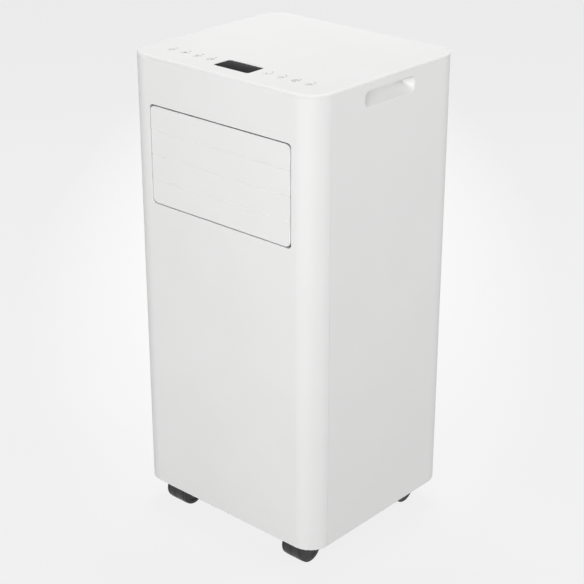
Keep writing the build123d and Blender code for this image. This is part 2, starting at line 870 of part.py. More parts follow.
# Upper scroll: fan housing whose throat rises into a plenum behind the outlet frame
plenum_middle = (0, aperture_z)
throat_top = aperture_bottom + aperture_height / 2
with BuildPart() as upper_scroll:
    with BuildSketch(facing(scroll_back)):
        with Locations((0, upper_fan_z)):
            Circle(upper_scroll_radius)
        with Locations((0, (deck_top + upper_fan_z) / 2)):
            Rectangle(scroll_foot_width, upper_fan_z - deck_top)
        with Locations((upper_scroll_radius / 2, (upper_fan_z + throat_top) / 2)):
            Rectangle(upper_scroll_radius, throat_top - upper_fan_z)
        with Locations(plenum_middle):
            Rectangle(2 * duct_half, aperture_height + 2 * duct_wall)
    extrude(amount=scroll_depth)
    with BuildSketch(facing(scroll_back - scroll_wall)):
        with Locations((0, upper_fan_z)):
            Circle(upper_scroll_radius - scroll_wall)
        with Locations((upper_scroll_radius / 2, (upper_fan_z + throat_top) / 2)):
            Rectangle(upper_scroll_radius - 2 * scroll_wall, throat_top - upper_fan_z)
        with Locations(plenum_middle):
            Rectangle(aperture_width, aperture_height)
    extrude(amount=scroll_depth - 2 * scroll_wall, mode=Mode.SUBTRACT)
    with BuildSketch(facing(scroll_back)):
        with Locations((0, upper_fan_z)):
            Circle(upper_inlet_radius)
    extrude(amount=scroll_wall, mode=Mode.SUBTRACT)
    with BuildSketch(facing(scroll_front)):
        with Locations(plenum_middle):
            RectangleRounded(aperture_width, aperture_height, aperture_radius)
        with Locations((0, upper_fan_z)):
            Circle(shaft_hole_radius)
    extrude(amount=-scroll_wall, mode=Mode.SUBTRACT)
keep(upper_scroll, "upper_scroll")


def fan_wheel(plane, radius):
    """Drum of blades on a back plate, drawn on a plane at the plate's outer face."""
    with BuildPart() as wheel:
        with BuildSketch(plane):
            Circle(radius)
        extrude(amount=fan_plate)
        with BuildSketch(plane):
            with PolarLocations(radius - fan_blade_length / 2, fan_blade_count):
                Rectangle(fan_blade_length, fan_blade_thickness)
        extrude(amount=fan_width)
        with BuildSketch(plane.offset((fan_width - fan_plate))):
            Circle(radius)
            Circle(radius - fan_blade_length, mode=Mode.SUBTRACT)
        extrude(amount=fan_plate)
        with BuildSketch(plane):
            Circle(fan_hub_radius)
        extrude(amount=fan_hub_length)
        with BuildSketch(plane):
            Circle(shaft_radius + run_fit)
        extrude(amount=fan_hub_length, mode=Mode.SUBTRACT)
    return wheel


def fan_motor(plane, radius, length):
    """Motor against a scroll wall, with its shaft reaching through to the wheel's hub."""
    shaft_reach = scroll_wall + fan_end_gap + fan_hub_length
    with BuildPart() as motor:
        with BuildSketch(plane):
            Circle(radius + motor_flange)
        extrude(amount=-motor_flange_thickness)
        with BuildSketch(plane):
            Circle(radius)
        extrude(amount=-length)
        with BuildSketch(plane):
            Circle(shaft_radius)
        extrude(amount=shaft_reach)
    return motor


# Upper fan: its axle runs front to back, motor in front, inlet towards the evaporator
upper_motor_plane = Plane(origin=(0, scroll_front, upper_fan_z), x_dir=(1, 0, 0), z_dir=(0, 1, 0))
upper_wheel_plane = upper_motor_plane.offset(scroll_wall + fan_end_gap)
keep(fan_wheel(upper_wheel_plane, upper_fan_radius), "upper_fan_wheel")
keep(fan_motor(upper_motor_plane, upper_motor_radius, upper_motor_length), "upper_fan_motor")

# Lower scroll: fan housing on its side with the exhaust duct that widens to the collar
lower_duct_y = lower_fan_y + lower_scroll_radius
with BuildPart() as lower_scroll:
    with BuildSketch(side_on(lower_scroll_left)):
        with Locations((lower_fan_y, lower_fan_z)):
            Circle(lower_scroll_radius)
        with Locations((lower_fan_y, (pan_top + lower_fan_z) / 2)):
            Rectangle(scroll_foot_width, lower_fan_z - pan_top)
        with Locations(((lower_fan_y + lower_duct_y) / 2, exhaust_z)):
            Rectangle(lower_scroll_radius, lower_scroll_radius)
    extrude(amount=scroll_depth)
    with BuildSketch(facing(lower_duct_y)):
        with Locations((lower_fan_x, exhaust_z)):
            Rectangle(scroll_depth, lower_scroll_radius)
    with BuildSketch(facing(collar_front)):
        with Locations((exhaust_x, exhaust_z)):
            Circle(exhaust_radius + scroll_wall)
    loft()
    with BuildSketch(side_on(lower_scroll_left + scroll_wall)):
        with Locations((lower_fan_y, lower_fan_z)):
            Circle(lower_scroll_radius - scroll_wall)
        with Locations(((lower_fan_y + lower_duct_y) / 2, exhaust_z)):
            Rectangle(lower_scroll_radius, lower_scroll_radius - 2 * scroll_wall)
    extrude(amount=scroll_depth - 2 * scroll_wall, mode=Mode.SUBTRACT)
    with BuildSketch(facing(lower_duct_y)):
        with Locations((lower_fan_x, exhaust_z)):
            Rectangle(scroll_depth - 2 * scroll_wall, lower_scroll_radius - 2 * scroll_wall)
    with BuildSketch(facing(collar_front)):
        with Locations((exhaust_x, exhaust_z)):
            Circle(exhaust_radius)
    loft(mode=Mode.SUBTRACT)
    with BuildSketch(side_on(lower_scroll_left)):
        with Locations((lower_fan_y, lower_fan_z)):
            Circle(shaft_hole_radius)
    extrude(amount=scroll_wall, mode=Mode.SUBTRACT)
    with BuildSketch(side_on(lower_scroll_left + scroll_depth)):
        with Locations((lower_fan_y, lower_fan_z)):
            Circle(lower_inlet_radius)
    extrude(amount=-scroll_wall, mode=Mode.SUBTRACT)
keep(lower_scroll, "lower_scroll")

# Lower fan: its axle runs across the body, motor on the left, inlet towards the coil
lower_motor_plane = Plane(
    origin=(lower_scroll_left, lower_fan_y, lower_fan_z), x_dir=(0, 1, 0), z_dir=(1, 0, 0)
)
lower_wheel_plane = lower_motor_plane.offset(scroll_wall + fan_end_gap)
keep(fan_wheel(lower_wheel_plane, lower_fan_radius), "lower_fan_wheel")
keep(fan_motor(lower_motor_plane, lower_motor_radius, lower_motor_length), "lower_fan_motor")

# Exhaust collar: ring in the back wall that the hose end plugs into
with BuildPart() as exhaust_collar:
    with BuildSketch(facing(back_y)):
        with Locations((exhaust_x, exhaust_z)):
            Circle(exhaust_radius + collar_wall)
    extrude(amount=collar_length)
    with BuildSketch(facing(inner_back)):
        with Locations((exhaust_x, exhaust_z)):
            Circle(exhaust_radius + collar_wall + collar_flange)
    extrude(amount=collar_flange_thickness)
    with BuildSketch(facing(back_y)):
        with Locations((exhaust_x, exhaust_z)):
            Circle(exhaust_radius)
    extrude(amount=collar_length, mode=Mode.SUBTRACT)
keep(exhaust_collar, "exhaust_collar")

# Compressor: welded shell on a foot plate, with the accumulator strapped beside it
accumulator_place = (compressor_x + accumulator_dx, compressor_y + accumulator_dy)
foot_plane = Plane(origin=(compressor_x, compressor_y, pan_top))
with BuildPart() as compressor:
    with BuildSketch(foot_plane.offset(foot_height)):
        with PolarLocations(foot_circle, 3):
            Circle(foot_radius)
        make_hull()
    extrude(amount=foot_plate)
    with BuildSketch(foot_plane.offset(foot_height)):
        Circle(compressor_radius)
    extrude(amount=foot_plate + compressor_height)
    fillet(compressor.faces().sort_by(Axis.Z)[-1].edges(), compressor_dome)
    with BuildSketch(foot_plane.offset(foot_height + foot_plate)):
        Circle(compressor_radius - compressor_shell)
    extrude(amount=compressor_height - compressor_dome, mode=Mode.SUBTRACT)
    with BuildSketch(level(accumulator_bottom)):
        with Locations(accumulator_place):
            Circle(accumulator_radius)
    extrude(amount=accumulator_height)
    with BuildSketch(level(accumulator_bottom + accumulator_height / 2)):
        with BuildLine():
            strap = Line((compressor_x, compressor_y), accumulator_place)
        trace(strap, line_width=strap_width)
        with Locations((compressor_x, compressor_y)):
            Circle(compressor_radius - compressor_shell, mode=Mode.SUBTRACT)
    extrude(amount=strap_height)
keep(compressor, "compressor")

# Compressor feet: three rubber grommets on the pan floor
with BuildPart() as compressor_feet:
    with BuildSketch(foot_plane):
        with PolarLocations(foot_circle, 3):
            Circle(foot_radius)
    extrude(amount=foot_height)
keep(compressor_feet, "compressor_feet")

# Refrigerant pipes: hot gas to the condenser, suction to the accumulator, liquid line
condenser_left = condenser_x - condenser_width / 2
under_deck = deck_z - pipe_drop
gas_x = condenser_left - pipe_side_gap
port_low = pan_top + port_height
port_high = pan_top + condenser_height - port_height
discharge_x = compressor_x - discharge_offset
liquid_z = under_deck - liquid_drop
liquid_y = port_y - liquid_inset
evaporator_port = deck_top + port_height
hot_gas_route = [
    (discharge_x, compressor_y, compressor_top),
    (discharge_x, compressor_y, under_deck),
    (gas_x, compressor_y, under_deck),
    (gas_x, port_y, under_deck),
    (gas_x, port_y, port_high),
    (condenser_left, port_y, port_high),
]
suction_route = [
    (evaporator_end, port_y, evaporator_port),
    (suction_x, port_y, evaporator_port),
    (suction_x, port_y, under_deck),
    (*accumulator_place, under_deck),
    (*accumulator_place, accumulator_top),
]
liquid_route = [
    (-evaporator_end, port_y, evaporator_port),
    (liquid_x, port_y, evaporator_port),
    (liquid_x, port_y, liquid_z),
    (gas_x, liquid_y, liquid_z),
    (gas_x, liquid_y, port_low),
    (gas_x, port_y, port_low),
    (condenser_left, port_y, port_low),
]
with BuildPart() as refrigerant_pipes:
    for route in (hot_gas_route, suction_route, liquid_route):
        with BuildLine() as centre:
            FilletPolyline(*route, radius=pipe_bend)
        with BuildSketch(Plane(origin=centre.line @ 0, z_dir=centre.line % 0)):
            Circle(pipe_radius)
        sweep(path=centre.line)
keep(refrigerant_pipes, "refrigerant_pipes")

# Slinger: notched wheel that throws pan water onto the condenser, and its motor
slinger_z = pan_top + slinger_lift + slinger_radius
slinger_back = coil_front - slinger_gap
slinger_plane = Plane(
    origin=(condenser_x, slinger_back, slinger_z), x_dir=(1, 0, 0), z_dir=(0, -1, 0)
)
slinger_motor_plane = slinger_plane.offset(slinger_thickness + pass_gap)
with BuildPart() as slinger_wheel:
    with BuildSketch(slinger_plane):
        Circle(slinger_radius)
        with PolarLocations(slinger_radius, slinger_notches):
            Rectangle(2 * slinger_notch, slinger_notch, mode=Mode.SUBTRACT)
        Circle(slinger_shaft_radius + run_fit, mode=Mode.SUBTRACT)
    extrude(amount=slinger_thickness)
keep(slinger_wheel, "slinger_wheel")
with BuildPart() as slinger_motor:
    with BuildSketch(slinger_motor_plane):
        Circle(slinger_motor_radius)
    extrude(amount=slinger_motor_length)
    with BuildSketch(slinger_motor_plane):
        Circle(slinger_shaft_radius)
    extrude(amount=-(slinger_thickness + pass_gap))
    with BuildSketch(slinger_motor_plane.offset(slinger_motor_length - slinger_bracket)):
        with Locations((0, (pan_top - slinger_z) / 2)):
            Rectangle(2 * slinger_motor_radius, slinger_z - pan_top)
    extrude(amount=slinger_bracket)
keep(slinger_motor, "slinger_motor")

# Control box on the mid deck, open at the back, with its board and the run capacitor
control_box_front = inner_front + control_box_gap
control_box_y = control_box_front + control_box_depth / 2
with BuildPart() as control_box:
    with BuildSketch(level(deck_top)):
        with Locations((control_box_x, control_box_y)):
            Rectangle(control_box_width, control_box_depth)
    extrude(amount=control_box_height)
    with BuildSketch(facing(control_box_front + control_box_wall)):
        with Locations((control_box_x, deck_top + control_box_height / 2)):
            Rectangle(
                control_box_width - 2 * control_box_wall,
                control_box_height - 2 * control_box_wall,
            )
    extrude(amount=-control_box_depth, mode=Mode.SUBTRACT)
keep(control_box, "control_box")
with BuildPart() as control_board:
    board_face = control_box_front + control_box_wall
    with BuildSketch(facing(board_face)):
        with Locations((control_box_x, deck_top + control_box_height / 2)):
            Rectangle(
                control_box_width - 2 * control_board_margin,
                control_box_height - 2 * control_board_margin,
            )
    extrude(amount=-board_thickness)
    with BuildSketch(facing(board_face + board_thickness)):
        with Locations((control_box_x, deck_top + control_box_height / 2)):
            with GridLocations(2 * control_chip, 2 * control_chip, 2, 2):
                Rectangle(control_chip, control_chip)
    extrude(amount=-control_chip_height)
keep(control_board, "control_board")
with BuildPart() as run_capacitor:
    with BuildSketch(level(deck_top)):
        with Locations((capacitor_x, control_box_y)):
            Circle(capacitor_radius)
    extrude(amount=capacitor_height)
keep(run_capacitor, "run_capacitor")


def filter_cover(middle, width, height):
    """Slotted cover, flush with the back wall, that rests on the ledge."""
    slot_rows = int((height - 2 * cover_border) / cover_slot_pitch)
    slot_length = (width - 3 * cover_border) / 2
    with BuildPart() as cover:
        with BuildSketch(facing(back_y)):
            with Locations(middle):
                RectangleRounded(width, height, cover_corner)
                with GridLocations(slot_length + cover_border, cover_slot_pitch, 2, slot_rows):
                    SlotOverall(slot_length, cover_slot, mode=Mode.SUBTRACT)
        extrude(amount=wall)
    return cover


def filter_mesh(middle, width, height):
    """Framed net behind a cover, inside the ledge."""
    frame_width = width - 2 * (ledge_width + slip)
    frame_height = height - 2 * (ledge_width + slip)
    columns = int((frame_width - 2 * mesh_border + mesh_thread) / mesh_cell)
    rows = int((frame_height - 2 * mesh_border + mesh_thread) / mesh_cell)
    hole = mesh_cell - mesh_thread
    with BuildPart() as mesh:
        with BuildSketch(facing(inner_back)):
            with Locations(middle):
                RectangleRounded(frame_width, frame_height, cover_corner - slip)
                with GridLocations(mesh_cell, mesh_cell, columns, rows):
                    Rectangle(hole, hole, mode=Mode.SUBTRACT)
        extrude(amount=mesh_thickness)
    return mesh


# Filter covers and meshes that pull off the back
upper_cover_place = (0, upper_cover_z)
lower_cover_place = (lower_cover_x, lower_cover_z)
keep(filter_cover(upper_cover_place, upper_cover_width, upper_cover_height), "upper_filter_cover")
keep(filter_mesh(upper_cover_place, upper_cover_width, upper_cover_height), "upper_filter_mesh")
keep(filter_cover(lower_cover_place, lower_cover_width, lower_cover_height), "lower_filter_cover")
keep(filter_mesh(lower_cover_place, lower_cover_width, lower_cover_height), "lower_filter_mesh")

# Drain plugs: rubber caps whose stems close the pan and the deck
for plug_name, plug_z in (("pan", pan_drain_z), ("deck", deck_drain_z)):
    with BuildPart() as drain_plug:
        with BuildSketch(facing(back_y)):
            with Locations((drain_x, plug_z)):
                Circle(drain_cap_radius)
        extrude(amount=-drain_cap)
        with BuildSketch(facing(back_y)):
            with Locations((drain_x, plug_z)):
                Circle(drain_radius)
        extrude(amount=drain_reach)
    keep(drain_plug, f"{plug_name}_drain_plug")

# Cord gland: rubber grommet held in the back wall by its two lips
with BuildPart() as cord_gland:
    with BuildSketch(facing(back_y + gland_lip)):
        with Locations((gland_x, gland_z)):
            Circle(gland_bore + gland_wall + gland_flange)
    extrude(amount=gland_lip)
    with BuildSketch(facing(back_y)):
        with Locations((gland_x, gland_z)):
            Circle(gland_bore + gland_wall)
    extrude(amount=wall)
    with BuildSketch(facing(inner_back)):
        with Locations((gland_x, gland_z)):
            Circle(gland_bore + gland_wall + gland_flange)
    extrude(amount=gland_lip)
    with BuildSketch(facing(back_y + gland_lip)):
        with Locations((gland_x, gland_z)):
            Circle(gland_bore)
    extrude(amount=wall + 2 * gland_lip, mode=Mode.SUBTRACT)
keep(cord_gland, "cord_gland")

# Cabinet screws: sunk pan heads through the back wall into the cover and the pan
screw_places = [(x, z) for x in (-screw_x, screw_x) for z in (pan_screw_z, top_screw_z)]
screw_seat = back_y - screw_sink
with BuildPart() as cabinet_screws:
    with BuildSketch(facing(screw_seat)):
        with Locations(screw_places):
            Circle(screw_radius)
    extrude(amount=screw_length)
    with BuildSketch(facing(screw_seat)):
        with Locations(screw_places):
            Circle(screw_head_radius)
    extrude(amount=-screw_head)
    with BuildSketch(facing(screw_seat + screw_head)):
        with Locations(screw_places):
            Rectangle(2 * screw_radius, screw_slot)
            Rectangle(screw_slot, 2 * screw_radius)
    extrude(amount=screw_slot, mode=Mode.SUBTRACT)
keep(cabinet_screws, "cabinet_screws")

# Casters: a stem and fork that swivel in the pan, and a pair of wheels on one axle
fork_bottom = 2 * wheel_radius + fork_gap
wheel_inner = web_thickness / 2 + pass_gap
caster_corners = {
    "front_left": (-caster_x, front_caster_y, -caster_trail),
    "front_right": (caster_x, front_caster_y, -caster_trail),
    "rear_left": (-caster_x, rear_caster_y, caster_trail),
    "rear_right": (caster_x, rear_caster_y, caster_trail),
}
for corner, (stem_x, stem_y, trail) in caster_corners.items():
    axle_y = stem_y + trail
    with BuildPart() as fork:
        with BuildSketch(level(fork_bottom)):
            with Locations((stem_x, stem_y + trail / 2)):
                SlotCenterToCenter(caster_trail, fork_width, rotation=90)
        extrude(amount=fork_plate)
        with BuildSketch(level(fork_bottom)):
            with Locations((stem_x, stem_y)):
                Circle(stem_radius)
        extrude(amount=pan_bottom + stem_length - fork_bottom)
        with BuildSketch(side_on(stem_x)):
            with Locations((axle_y, wheel_radius)):
                Circle(hub_radius)
            with Locations((axle_y, (wheel_radius + fork_bottom + fork_plate) / 2)):
                Rectangle(2 * hub_radius, fork_bottom + fork_plate - wheel_radius)
            with Locations((axle_y, wheel_radius)):
                Circle(axle_radius + run_fit, mode=Mode.SUBTRACT)
        extrude(amount=web_thickness / 2, both=True)
    keep(fork, f"caster_fork_{corner}")
    with BuildPart() as wheels:
        for side in (-1, 1):
            with BuildSketch(side_on(stem_x + side * wheel_inner)):
                with Locations((axle_y, wheel_radius)):
                    Circle(wheel_radius)
            extrude(amount=side * wheel_width)
            outer_face = wheels.faces().sort_by(Axis.X)[-1 if side == 1 else 0]
            fillet(outer_face.edges(), wheel_round)
            with BuildSketch(side_on(stem_x + side * (wheel_inner + wheel_width))):
                with Locations((axle_y, wheel_radius)):
                    Circle(hub_radius)
            extrude(amount=-side * hub_dish, mode=Mode.SUBTRACT)
        with BuildSketch(side_on(stem_x)):
            with Locations((axle_y, wheel_radius)):
                Circle(axle_radius)
        extrude(amount=wheel_inner + wheel_width / 2, both=True)
    keep(wheels, f"caster_wheels_{corner}")
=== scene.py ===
import math

import bmesh
import bpy
import numpy as np
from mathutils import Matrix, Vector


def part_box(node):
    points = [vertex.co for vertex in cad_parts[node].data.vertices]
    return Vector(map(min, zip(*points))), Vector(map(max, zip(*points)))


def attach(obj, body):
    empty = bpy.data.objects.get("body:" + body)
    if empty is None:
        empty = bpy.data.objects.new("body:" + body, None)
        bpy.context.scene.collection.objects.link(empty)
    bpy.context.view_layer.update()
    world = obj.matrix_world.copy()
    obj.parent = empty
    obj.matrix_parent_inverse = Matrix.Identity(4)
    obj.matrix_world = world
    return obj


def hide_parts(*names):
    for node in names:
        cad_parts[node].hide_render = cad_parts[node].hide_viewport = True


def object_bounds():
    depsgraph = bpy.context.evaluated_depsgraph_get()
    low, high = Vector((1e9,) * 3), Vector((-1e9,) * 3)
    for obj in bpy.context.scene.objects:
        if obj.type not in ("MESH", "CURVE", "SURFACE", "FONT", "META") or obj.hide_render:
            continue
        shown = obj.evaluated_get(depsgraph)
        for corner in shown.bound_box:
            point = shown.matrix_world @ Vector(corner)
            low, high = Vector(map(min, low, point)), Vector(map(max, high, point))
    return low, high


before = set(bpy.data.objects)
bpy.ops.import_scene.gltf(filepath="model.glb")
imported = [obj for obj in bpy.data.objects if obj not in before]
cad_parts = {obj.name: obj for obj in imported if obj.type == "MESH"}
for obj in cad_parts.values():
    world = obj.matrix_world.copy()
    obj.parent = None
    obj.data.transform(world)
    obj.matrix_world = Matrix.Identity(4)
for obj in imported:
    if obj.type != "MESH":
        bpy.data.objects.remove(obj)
cad_low, cad_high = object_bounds()

# Cabinet mouldings: the front panel, the cabinet behind it, the lid, the louver blades
# and the two filter covers are injection-moulded white ABS. The mould was spark-eroded,
# so every face has a fine, even grain, and the thick corners cooled a touch glossier.
mm = 0.001
cabinet_colour = (0.83, 0.83, 0.825)
blade_colour = (0.84, 0.84, 0.835)
cabinet_roughness = 0.46
cabinet_grain = 0.7 * mm
cabinet_grain_depth = 0.012 * mm
cloud_low, cloud_high = 0.3, 0.7
flow_size = 140 * mm
flow_dark, flow_light = 0.985, 1.01
polish_size = 60 * mm
polish_drift = 0.03
plastic_mirror = 0.3


def node_material(name):
    """A new node material, with its tree, its shader and the piece's own coordinates."""
    material = bpy.data.materials.new(name)
    material.use_nodes = True
    tree = material.node_tree
    place = tree.nodes.new("ShaderNodeTexCoord").outputs["Object"]
    return material, tree, tree.nodes["Principled BSDF"], place


def clouds(tree, place, size, detail):
    """Noise whose blots are about one size across."""
    noise = tree.nodes.new("ShaderNodeTexNoise")
    noise.inputs["Scale"].default_value = 1 / size
    noise.inputs["Detail"].default_value = detail
    tree.links.new(place, noise.inputs["Vector"])
    return noise.outputs["Fac"]


def tint(tree, factor, socket, dark, light):
    """Colour that runs from dark to light as the factor crosses its middle range."""
    ramp = tree.nodes.new("ShaderNodeValToRGB")
    ramp.color_ramp.elements[0].position = cloud_low
    ramp.color_ramp.elements[1].position = cloud_high
    ramp.color_ramp.elements[0].color = (*dark, 1)
    ramp.color_ramp.elements[1].color = (*light, 1)
    tree.links.new(factor, ramp.inputs["Fac"])
    tree.links.new(ramp.outputs["Color"], socket)


def vary(tree, factor, socket, low, high):
    """A number that runs from low to high as the factor crosses its middle range."""
    span = tree.nodes.new("ShaderNodeMapRange")
    span.inputs["From Min"].default_value = cloud_low
    span.inputs["From Max"].default_value = cloud_high
    span.inputs["To Min"].default_value = low
    span.inputs["To Max"].default_value = high
    tree.links.new(factor, span.inputs["Value"])
    tree.links.new(span.outputs["Result"], socket)


def emboss(tree, height, shader, depth):
    """Bump of a real depth, from a height between 0 and 1."""
    bump = tree.nodes.new("ShaderNodeBump")
    bump.inputs["Strength"].default_value = 1.0
    bump.inputs["Distance"].default_value = depth
    tree.links.new(height, bump.inputs["Height"])
    tree.links.new(bump.outputs["Normal"], shader.inputs["Normal"])


def shaded(colour, share):
    """The same colour at another brightness."""
    return tuple(share * channel for channel in colour)


def moulded_plastic(name, colour, roughness, grain, depth):
    """Moulded plastic: slow clouds drift its tone and gloss, fine clouds raise its grain."""
    material, tree, shader, place = node_material(name)
    flow = clouds(tree, place, flow_size, 2)
    polish = clouds(tree, place, polish_size, 3)
    dark, light = shaded(colour, flow_dark), shaded(colour, flow_light)
    tint(tree, flow, shader.inputs["Base Color"], dark, light)
    smooth, rough = roughness - polish_drift, roughness + polish_drift
    vary(tree, polish, shader.inputs["Roughness"], smooth, rough)
    emboss(tree, clouds(tree, place, grain, 1), shader, depth)
    shader.inputs["Specular IOR Level"].default_value = plastic_mirror
    return material


def coat(material, *names):
    """Give CAD nodes a finish."""
    for name in names:
        for material_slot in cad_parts[name].material_slots:
            material_slot.material = material


cabinet_white = moulded_plastic(
    "cabinet_white", cabinet_colour, cabinet_roughness, cabinet_grain, cabinet_grain_depth
)
blade_white = moulded_plastic(
    "blade_white", blade_colour, cabinet_roughness, cabinet_grain, cabinet_grain_depth
)
coat(cabinet_white, "front_panel", "rear_cabinet", "top_cover")
coat(cabinet_white, "upper_filter_cover", "lower_filter_cover")
coat(blade_white, "louver_blade_1", "louver_blade_2", "louver_blade_3", "louver_blade_4")

# Display window: a polished smoked acrylic lens let into the lid from below and held by a
# flange. Its face is slightly crowned from front to back, and carries the faint film of dust
# and wiping that dark gloss always shows.
scene = bpy.context.scene
lens_colour = (0.006, 0.006, 0.007)
lens_dust = (0.011, 0.011, 0.012)
lens_roughness = 0.04
dusty_roughness = 0.12
lens_mirror = 0.012
dust_size = 9 * mm
lens_corner = 4.0 * mm
lens_corner_steps = 9
lens_crown = 0.7 * mm
lens_rings = 14
lens_flange = 3.0 * mm
lens_flange_thickness = 1.5 * mm
same_point = 1e-7
no_length = 1e-8


def quads(rows, columns):
    """Corner numbers of the quads between neighbouring rows of a grid whose columns close up."""
    row = np.arange(rows - 1)[:, None] * columns
    column = np.arange(columns)[None]
    following = (column + 1) % columns
    corners = (row + column, row + following, row + columns + following, row + columns + column)
    return np.stack(corners, -1).reshape(-1, 4)


def arc(middle, radius, start, end, count):
    """Points on a circle between two angles in degrees."""
    angle = np.radians(np.linspace(start, end, count))
    return np.asarray(middle) + radius * np.stack((np.cos(angle), np.sin(angle)), -1)


def rounded_rim(half_width, half_depth, corner):
    """Points round a rectangle with round corners: four quarter circles joined by its sides."""
    across, along = half_width - corner, half_depth - corner
    return np.concatenate((
        arc((across, along), corner, 0, 90, lens_corner_steps),
        arc((-across, along), corner, 90, 180, lens_corner_steps),
        arc((-across, -along), corner, 180, 270, lens_corner_steps),
        arc((across, -along), corner, 270, 360, lens_corner_steps),
    ))


def crowned_lens(low, high):
    """A lens in a flange. Its face is the rim shrunk by shares from 0 to 1, and lies below the
    highest line by crown * (depth / half depth) ** 2; the rim then goes down to the flange,
    out, down again, and in to the middle underneath."""
    middle = (low + high) / 2
    half = (high - low) / 2
    rim = rounded_rim(half[0] - lens_flange, half[1] - lens_flange, lens_corner)
    flange = rounded_rim(half[0], half[1], lens_corner + lens_flange)
    face = np.linspace(0, 1, lens_rings)[:, None, None] * rim
    fall = high[2] - lens_crown * (face[..., 1:] / (half[1] - lens_flange)) ** 2
    seat = low[2] + lens_flange_thickness
    plan = np.stack((rim, flange, flange, 0 * flange))
    steps = np.array((seat, seat, low[2], low[2]))[:, None, None]
    height = np.broadcast_to(steps, plan.shape[:2] + (1,))
    points = np.concatenate((np.concatenate((face, fall), -1), np.concatenate((plan, height), -1)))
    points[..., :2] += middle[:2]
    return points.reshape(-1, 3), quads(len(points), len(rim))


def piece(name, parts, material, body, crease=35):
    """One object from several (points, faces) parts: doubles merged, faces turned outwards,
    smooth except where neighbours meet at more than the crease angle."""
    starts = np.cumsum([0] + [len(points) for points, _ in parts[:-1]])
    points = np.concatenate([points for points, _ in parts])
    faces = np.concatenate([faces + start for (_, faces), start in zip(parts, starts)])
    mesh = bpy.data.meshes.new(name)
    mesh.from_pydata(points.tolist(), [], faces.tolist())
    whole = bmesh.new()
    whole.from_mesh(mesh)
    bmesh.ops.remove_doubles(whole, verts=whole.verts, dist=same_point)
    bmesh.ops.dissolve_degenerate(whole, edges=whole.edges, dist=no_length)
    bmesh.ops.recalc_face_normals(whole, faces=whole.faces)
    whole.to_mesh(mesh)
    whole.free()
    mesh.shade_smooth()
    mesh.set_sharp_from_angle(angle=math.radians(crease))
    mesh.materials.append(material)
    made = bpy.data.objects.new(name, mesh)
    scene.collection.objects.link(made)
    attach(made, body)
    return made


lens, lens_tree, lens_shader, lens_place = node_material("smoked_lens")
dust = clouds(lens_tree, lens_place, dust_size, 5)
tint(lens_tree, dust, lens_shader.inputs["Base Color"], lens_colour, lens_dust)
vary(lens_tree, dust, lens_shader.inputs["Roughness"], lens_roughness, dusty_roughness)
lens_shader.inputs["Specular IOR Level"].default_value = lens_mirror
window_low, window_high = (np.array(corner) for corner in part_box("display_window"))
window_parts = [crowned_lens(window_low, window_high)]
window = piece("window_lens", window_parts, lens, "cabinet", 30)
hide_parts("display_window")

# Keys: round moulded caps that slide in the lid, each with a flange that stops it under
# the plate, a stem over its switch and a shallow dish for the finger tip.
key_names = ("power", "mode", "fan", "timer", "down", "up", "sleep", "swing")
key_colour = (0.80, 0.80, 0.795)
key_roughness = 0.42
key_grain = 0.5 * mm
key_grain_depth = 0.01 * mm
key_cap_radius = 6.0 * mm
key_edge_round = 0.7 * mm
key_dish = 0.3 * mm
key_dish_radius = key_cap_radius - key_edge_round
key_flange_radius = 7.5 * mm
key_flange_thickness = 1.6 * mm
key_cap_height = 3.35 * mm
key_stem_radius = 2.0 * mm
key_steps = 64
key_dish_rings = 12
key_edge_rings = 8


def turned(profile, centre, axis, steps):
    """A profile carried round an axis: the point (along, out) at an angle goes to
    centre + along * axis + out * (cos(angle) * first + sin(angle) * second)."""
    profile = np.asarray(profile, float)
    axis = np.asarray(axis, float)
    first = np.roll(axis, 1)
    second = np.cross(axis, first)
    angle = np.linspace(0, 2 * np.pi, steps, endpoint=False)[:, None]
    ring = np.cos(angle) * first + np.sin(angle) * second
    points = np.asarray(centre) + profile[:, None, :1] * axis + profile[:, None, 1:] * ring
    return points.reshape(-1, 3), quads(len(profile), steps)


def key_profile(top, bottom):
    """Half section of a key from its dished top to its stem, as (height, radius). The dish is
    a parabola: it falls by key_dish * (1 - (radius / key_dish_radius) ** 2) below the edge."""
    out = np.linspace(0, key_dish_radius, key_dish_rings)
    dish = np.stack((top - key_dish * (1 - (out / key_dish_radius) ** 2), out), -1)
    edge = arc((top - key_edge_round, key_dish_radius), key_edge_round, 0, 90, key_edge_rings)
    flange_top = top - key_cap_height
    flange_bottom = flange_top - key_flange_thickness
    skirt = [
        (flange_top, key_cap_radius),
        (flange_top, key_flange_radius),
        (flange_bottom, key_flange_radius),
        (flange_bottom, key_stem_radius),
        (bottom, key_stem_radius),
        (bottom, 0),
    ]
    return np.concatenate((dish, edge, skirt))


key_white = moulded_plastic("key_white", key_colour, key_roughness, key_grain, key_grain_depth)
key_centres = {}
for key_name in key_names:
    key_low, key_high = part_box(f"key_{key_name}")
    key_middle = (key_low + key_high) / 2
    key_centres[key_name] = np.array((key_middle.x, key_middle.y, key_high.z))
    key_axis_foot = (key_middle.x, key_middle.y, 0)
    cap = turned(key_profile(key_high.z, key_low.z), key_axis_foot, (0, 0, 1), key_steps)
    key_cap = piece(f"{key_name}_cap", [cap], key_white, f"{key_name}_key")
    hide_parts(f"key_{key_name}")

# Signs on the keys: grey pad-printed strokes that lie in the dish of each cap. They are the
# usual signs for power, mode, fan, timer, less, more, sleep and swing.
sign_colour = (0.24, 0.24, 0.245)
sign_roughness = 0.6
sign_grain = 0.3 * mm
sign_grain_depth = 0.004 * mm
stroke_width = 0.9 * mm
stroke_lift = 0.03 * mm
stroke_sink = 0.05 * mm
stroke_points = 9


def line(start, end):
    """Points on a straight stroke, close enough together to follow the dish."""
    return np.linspace(start, end, stroke_points)


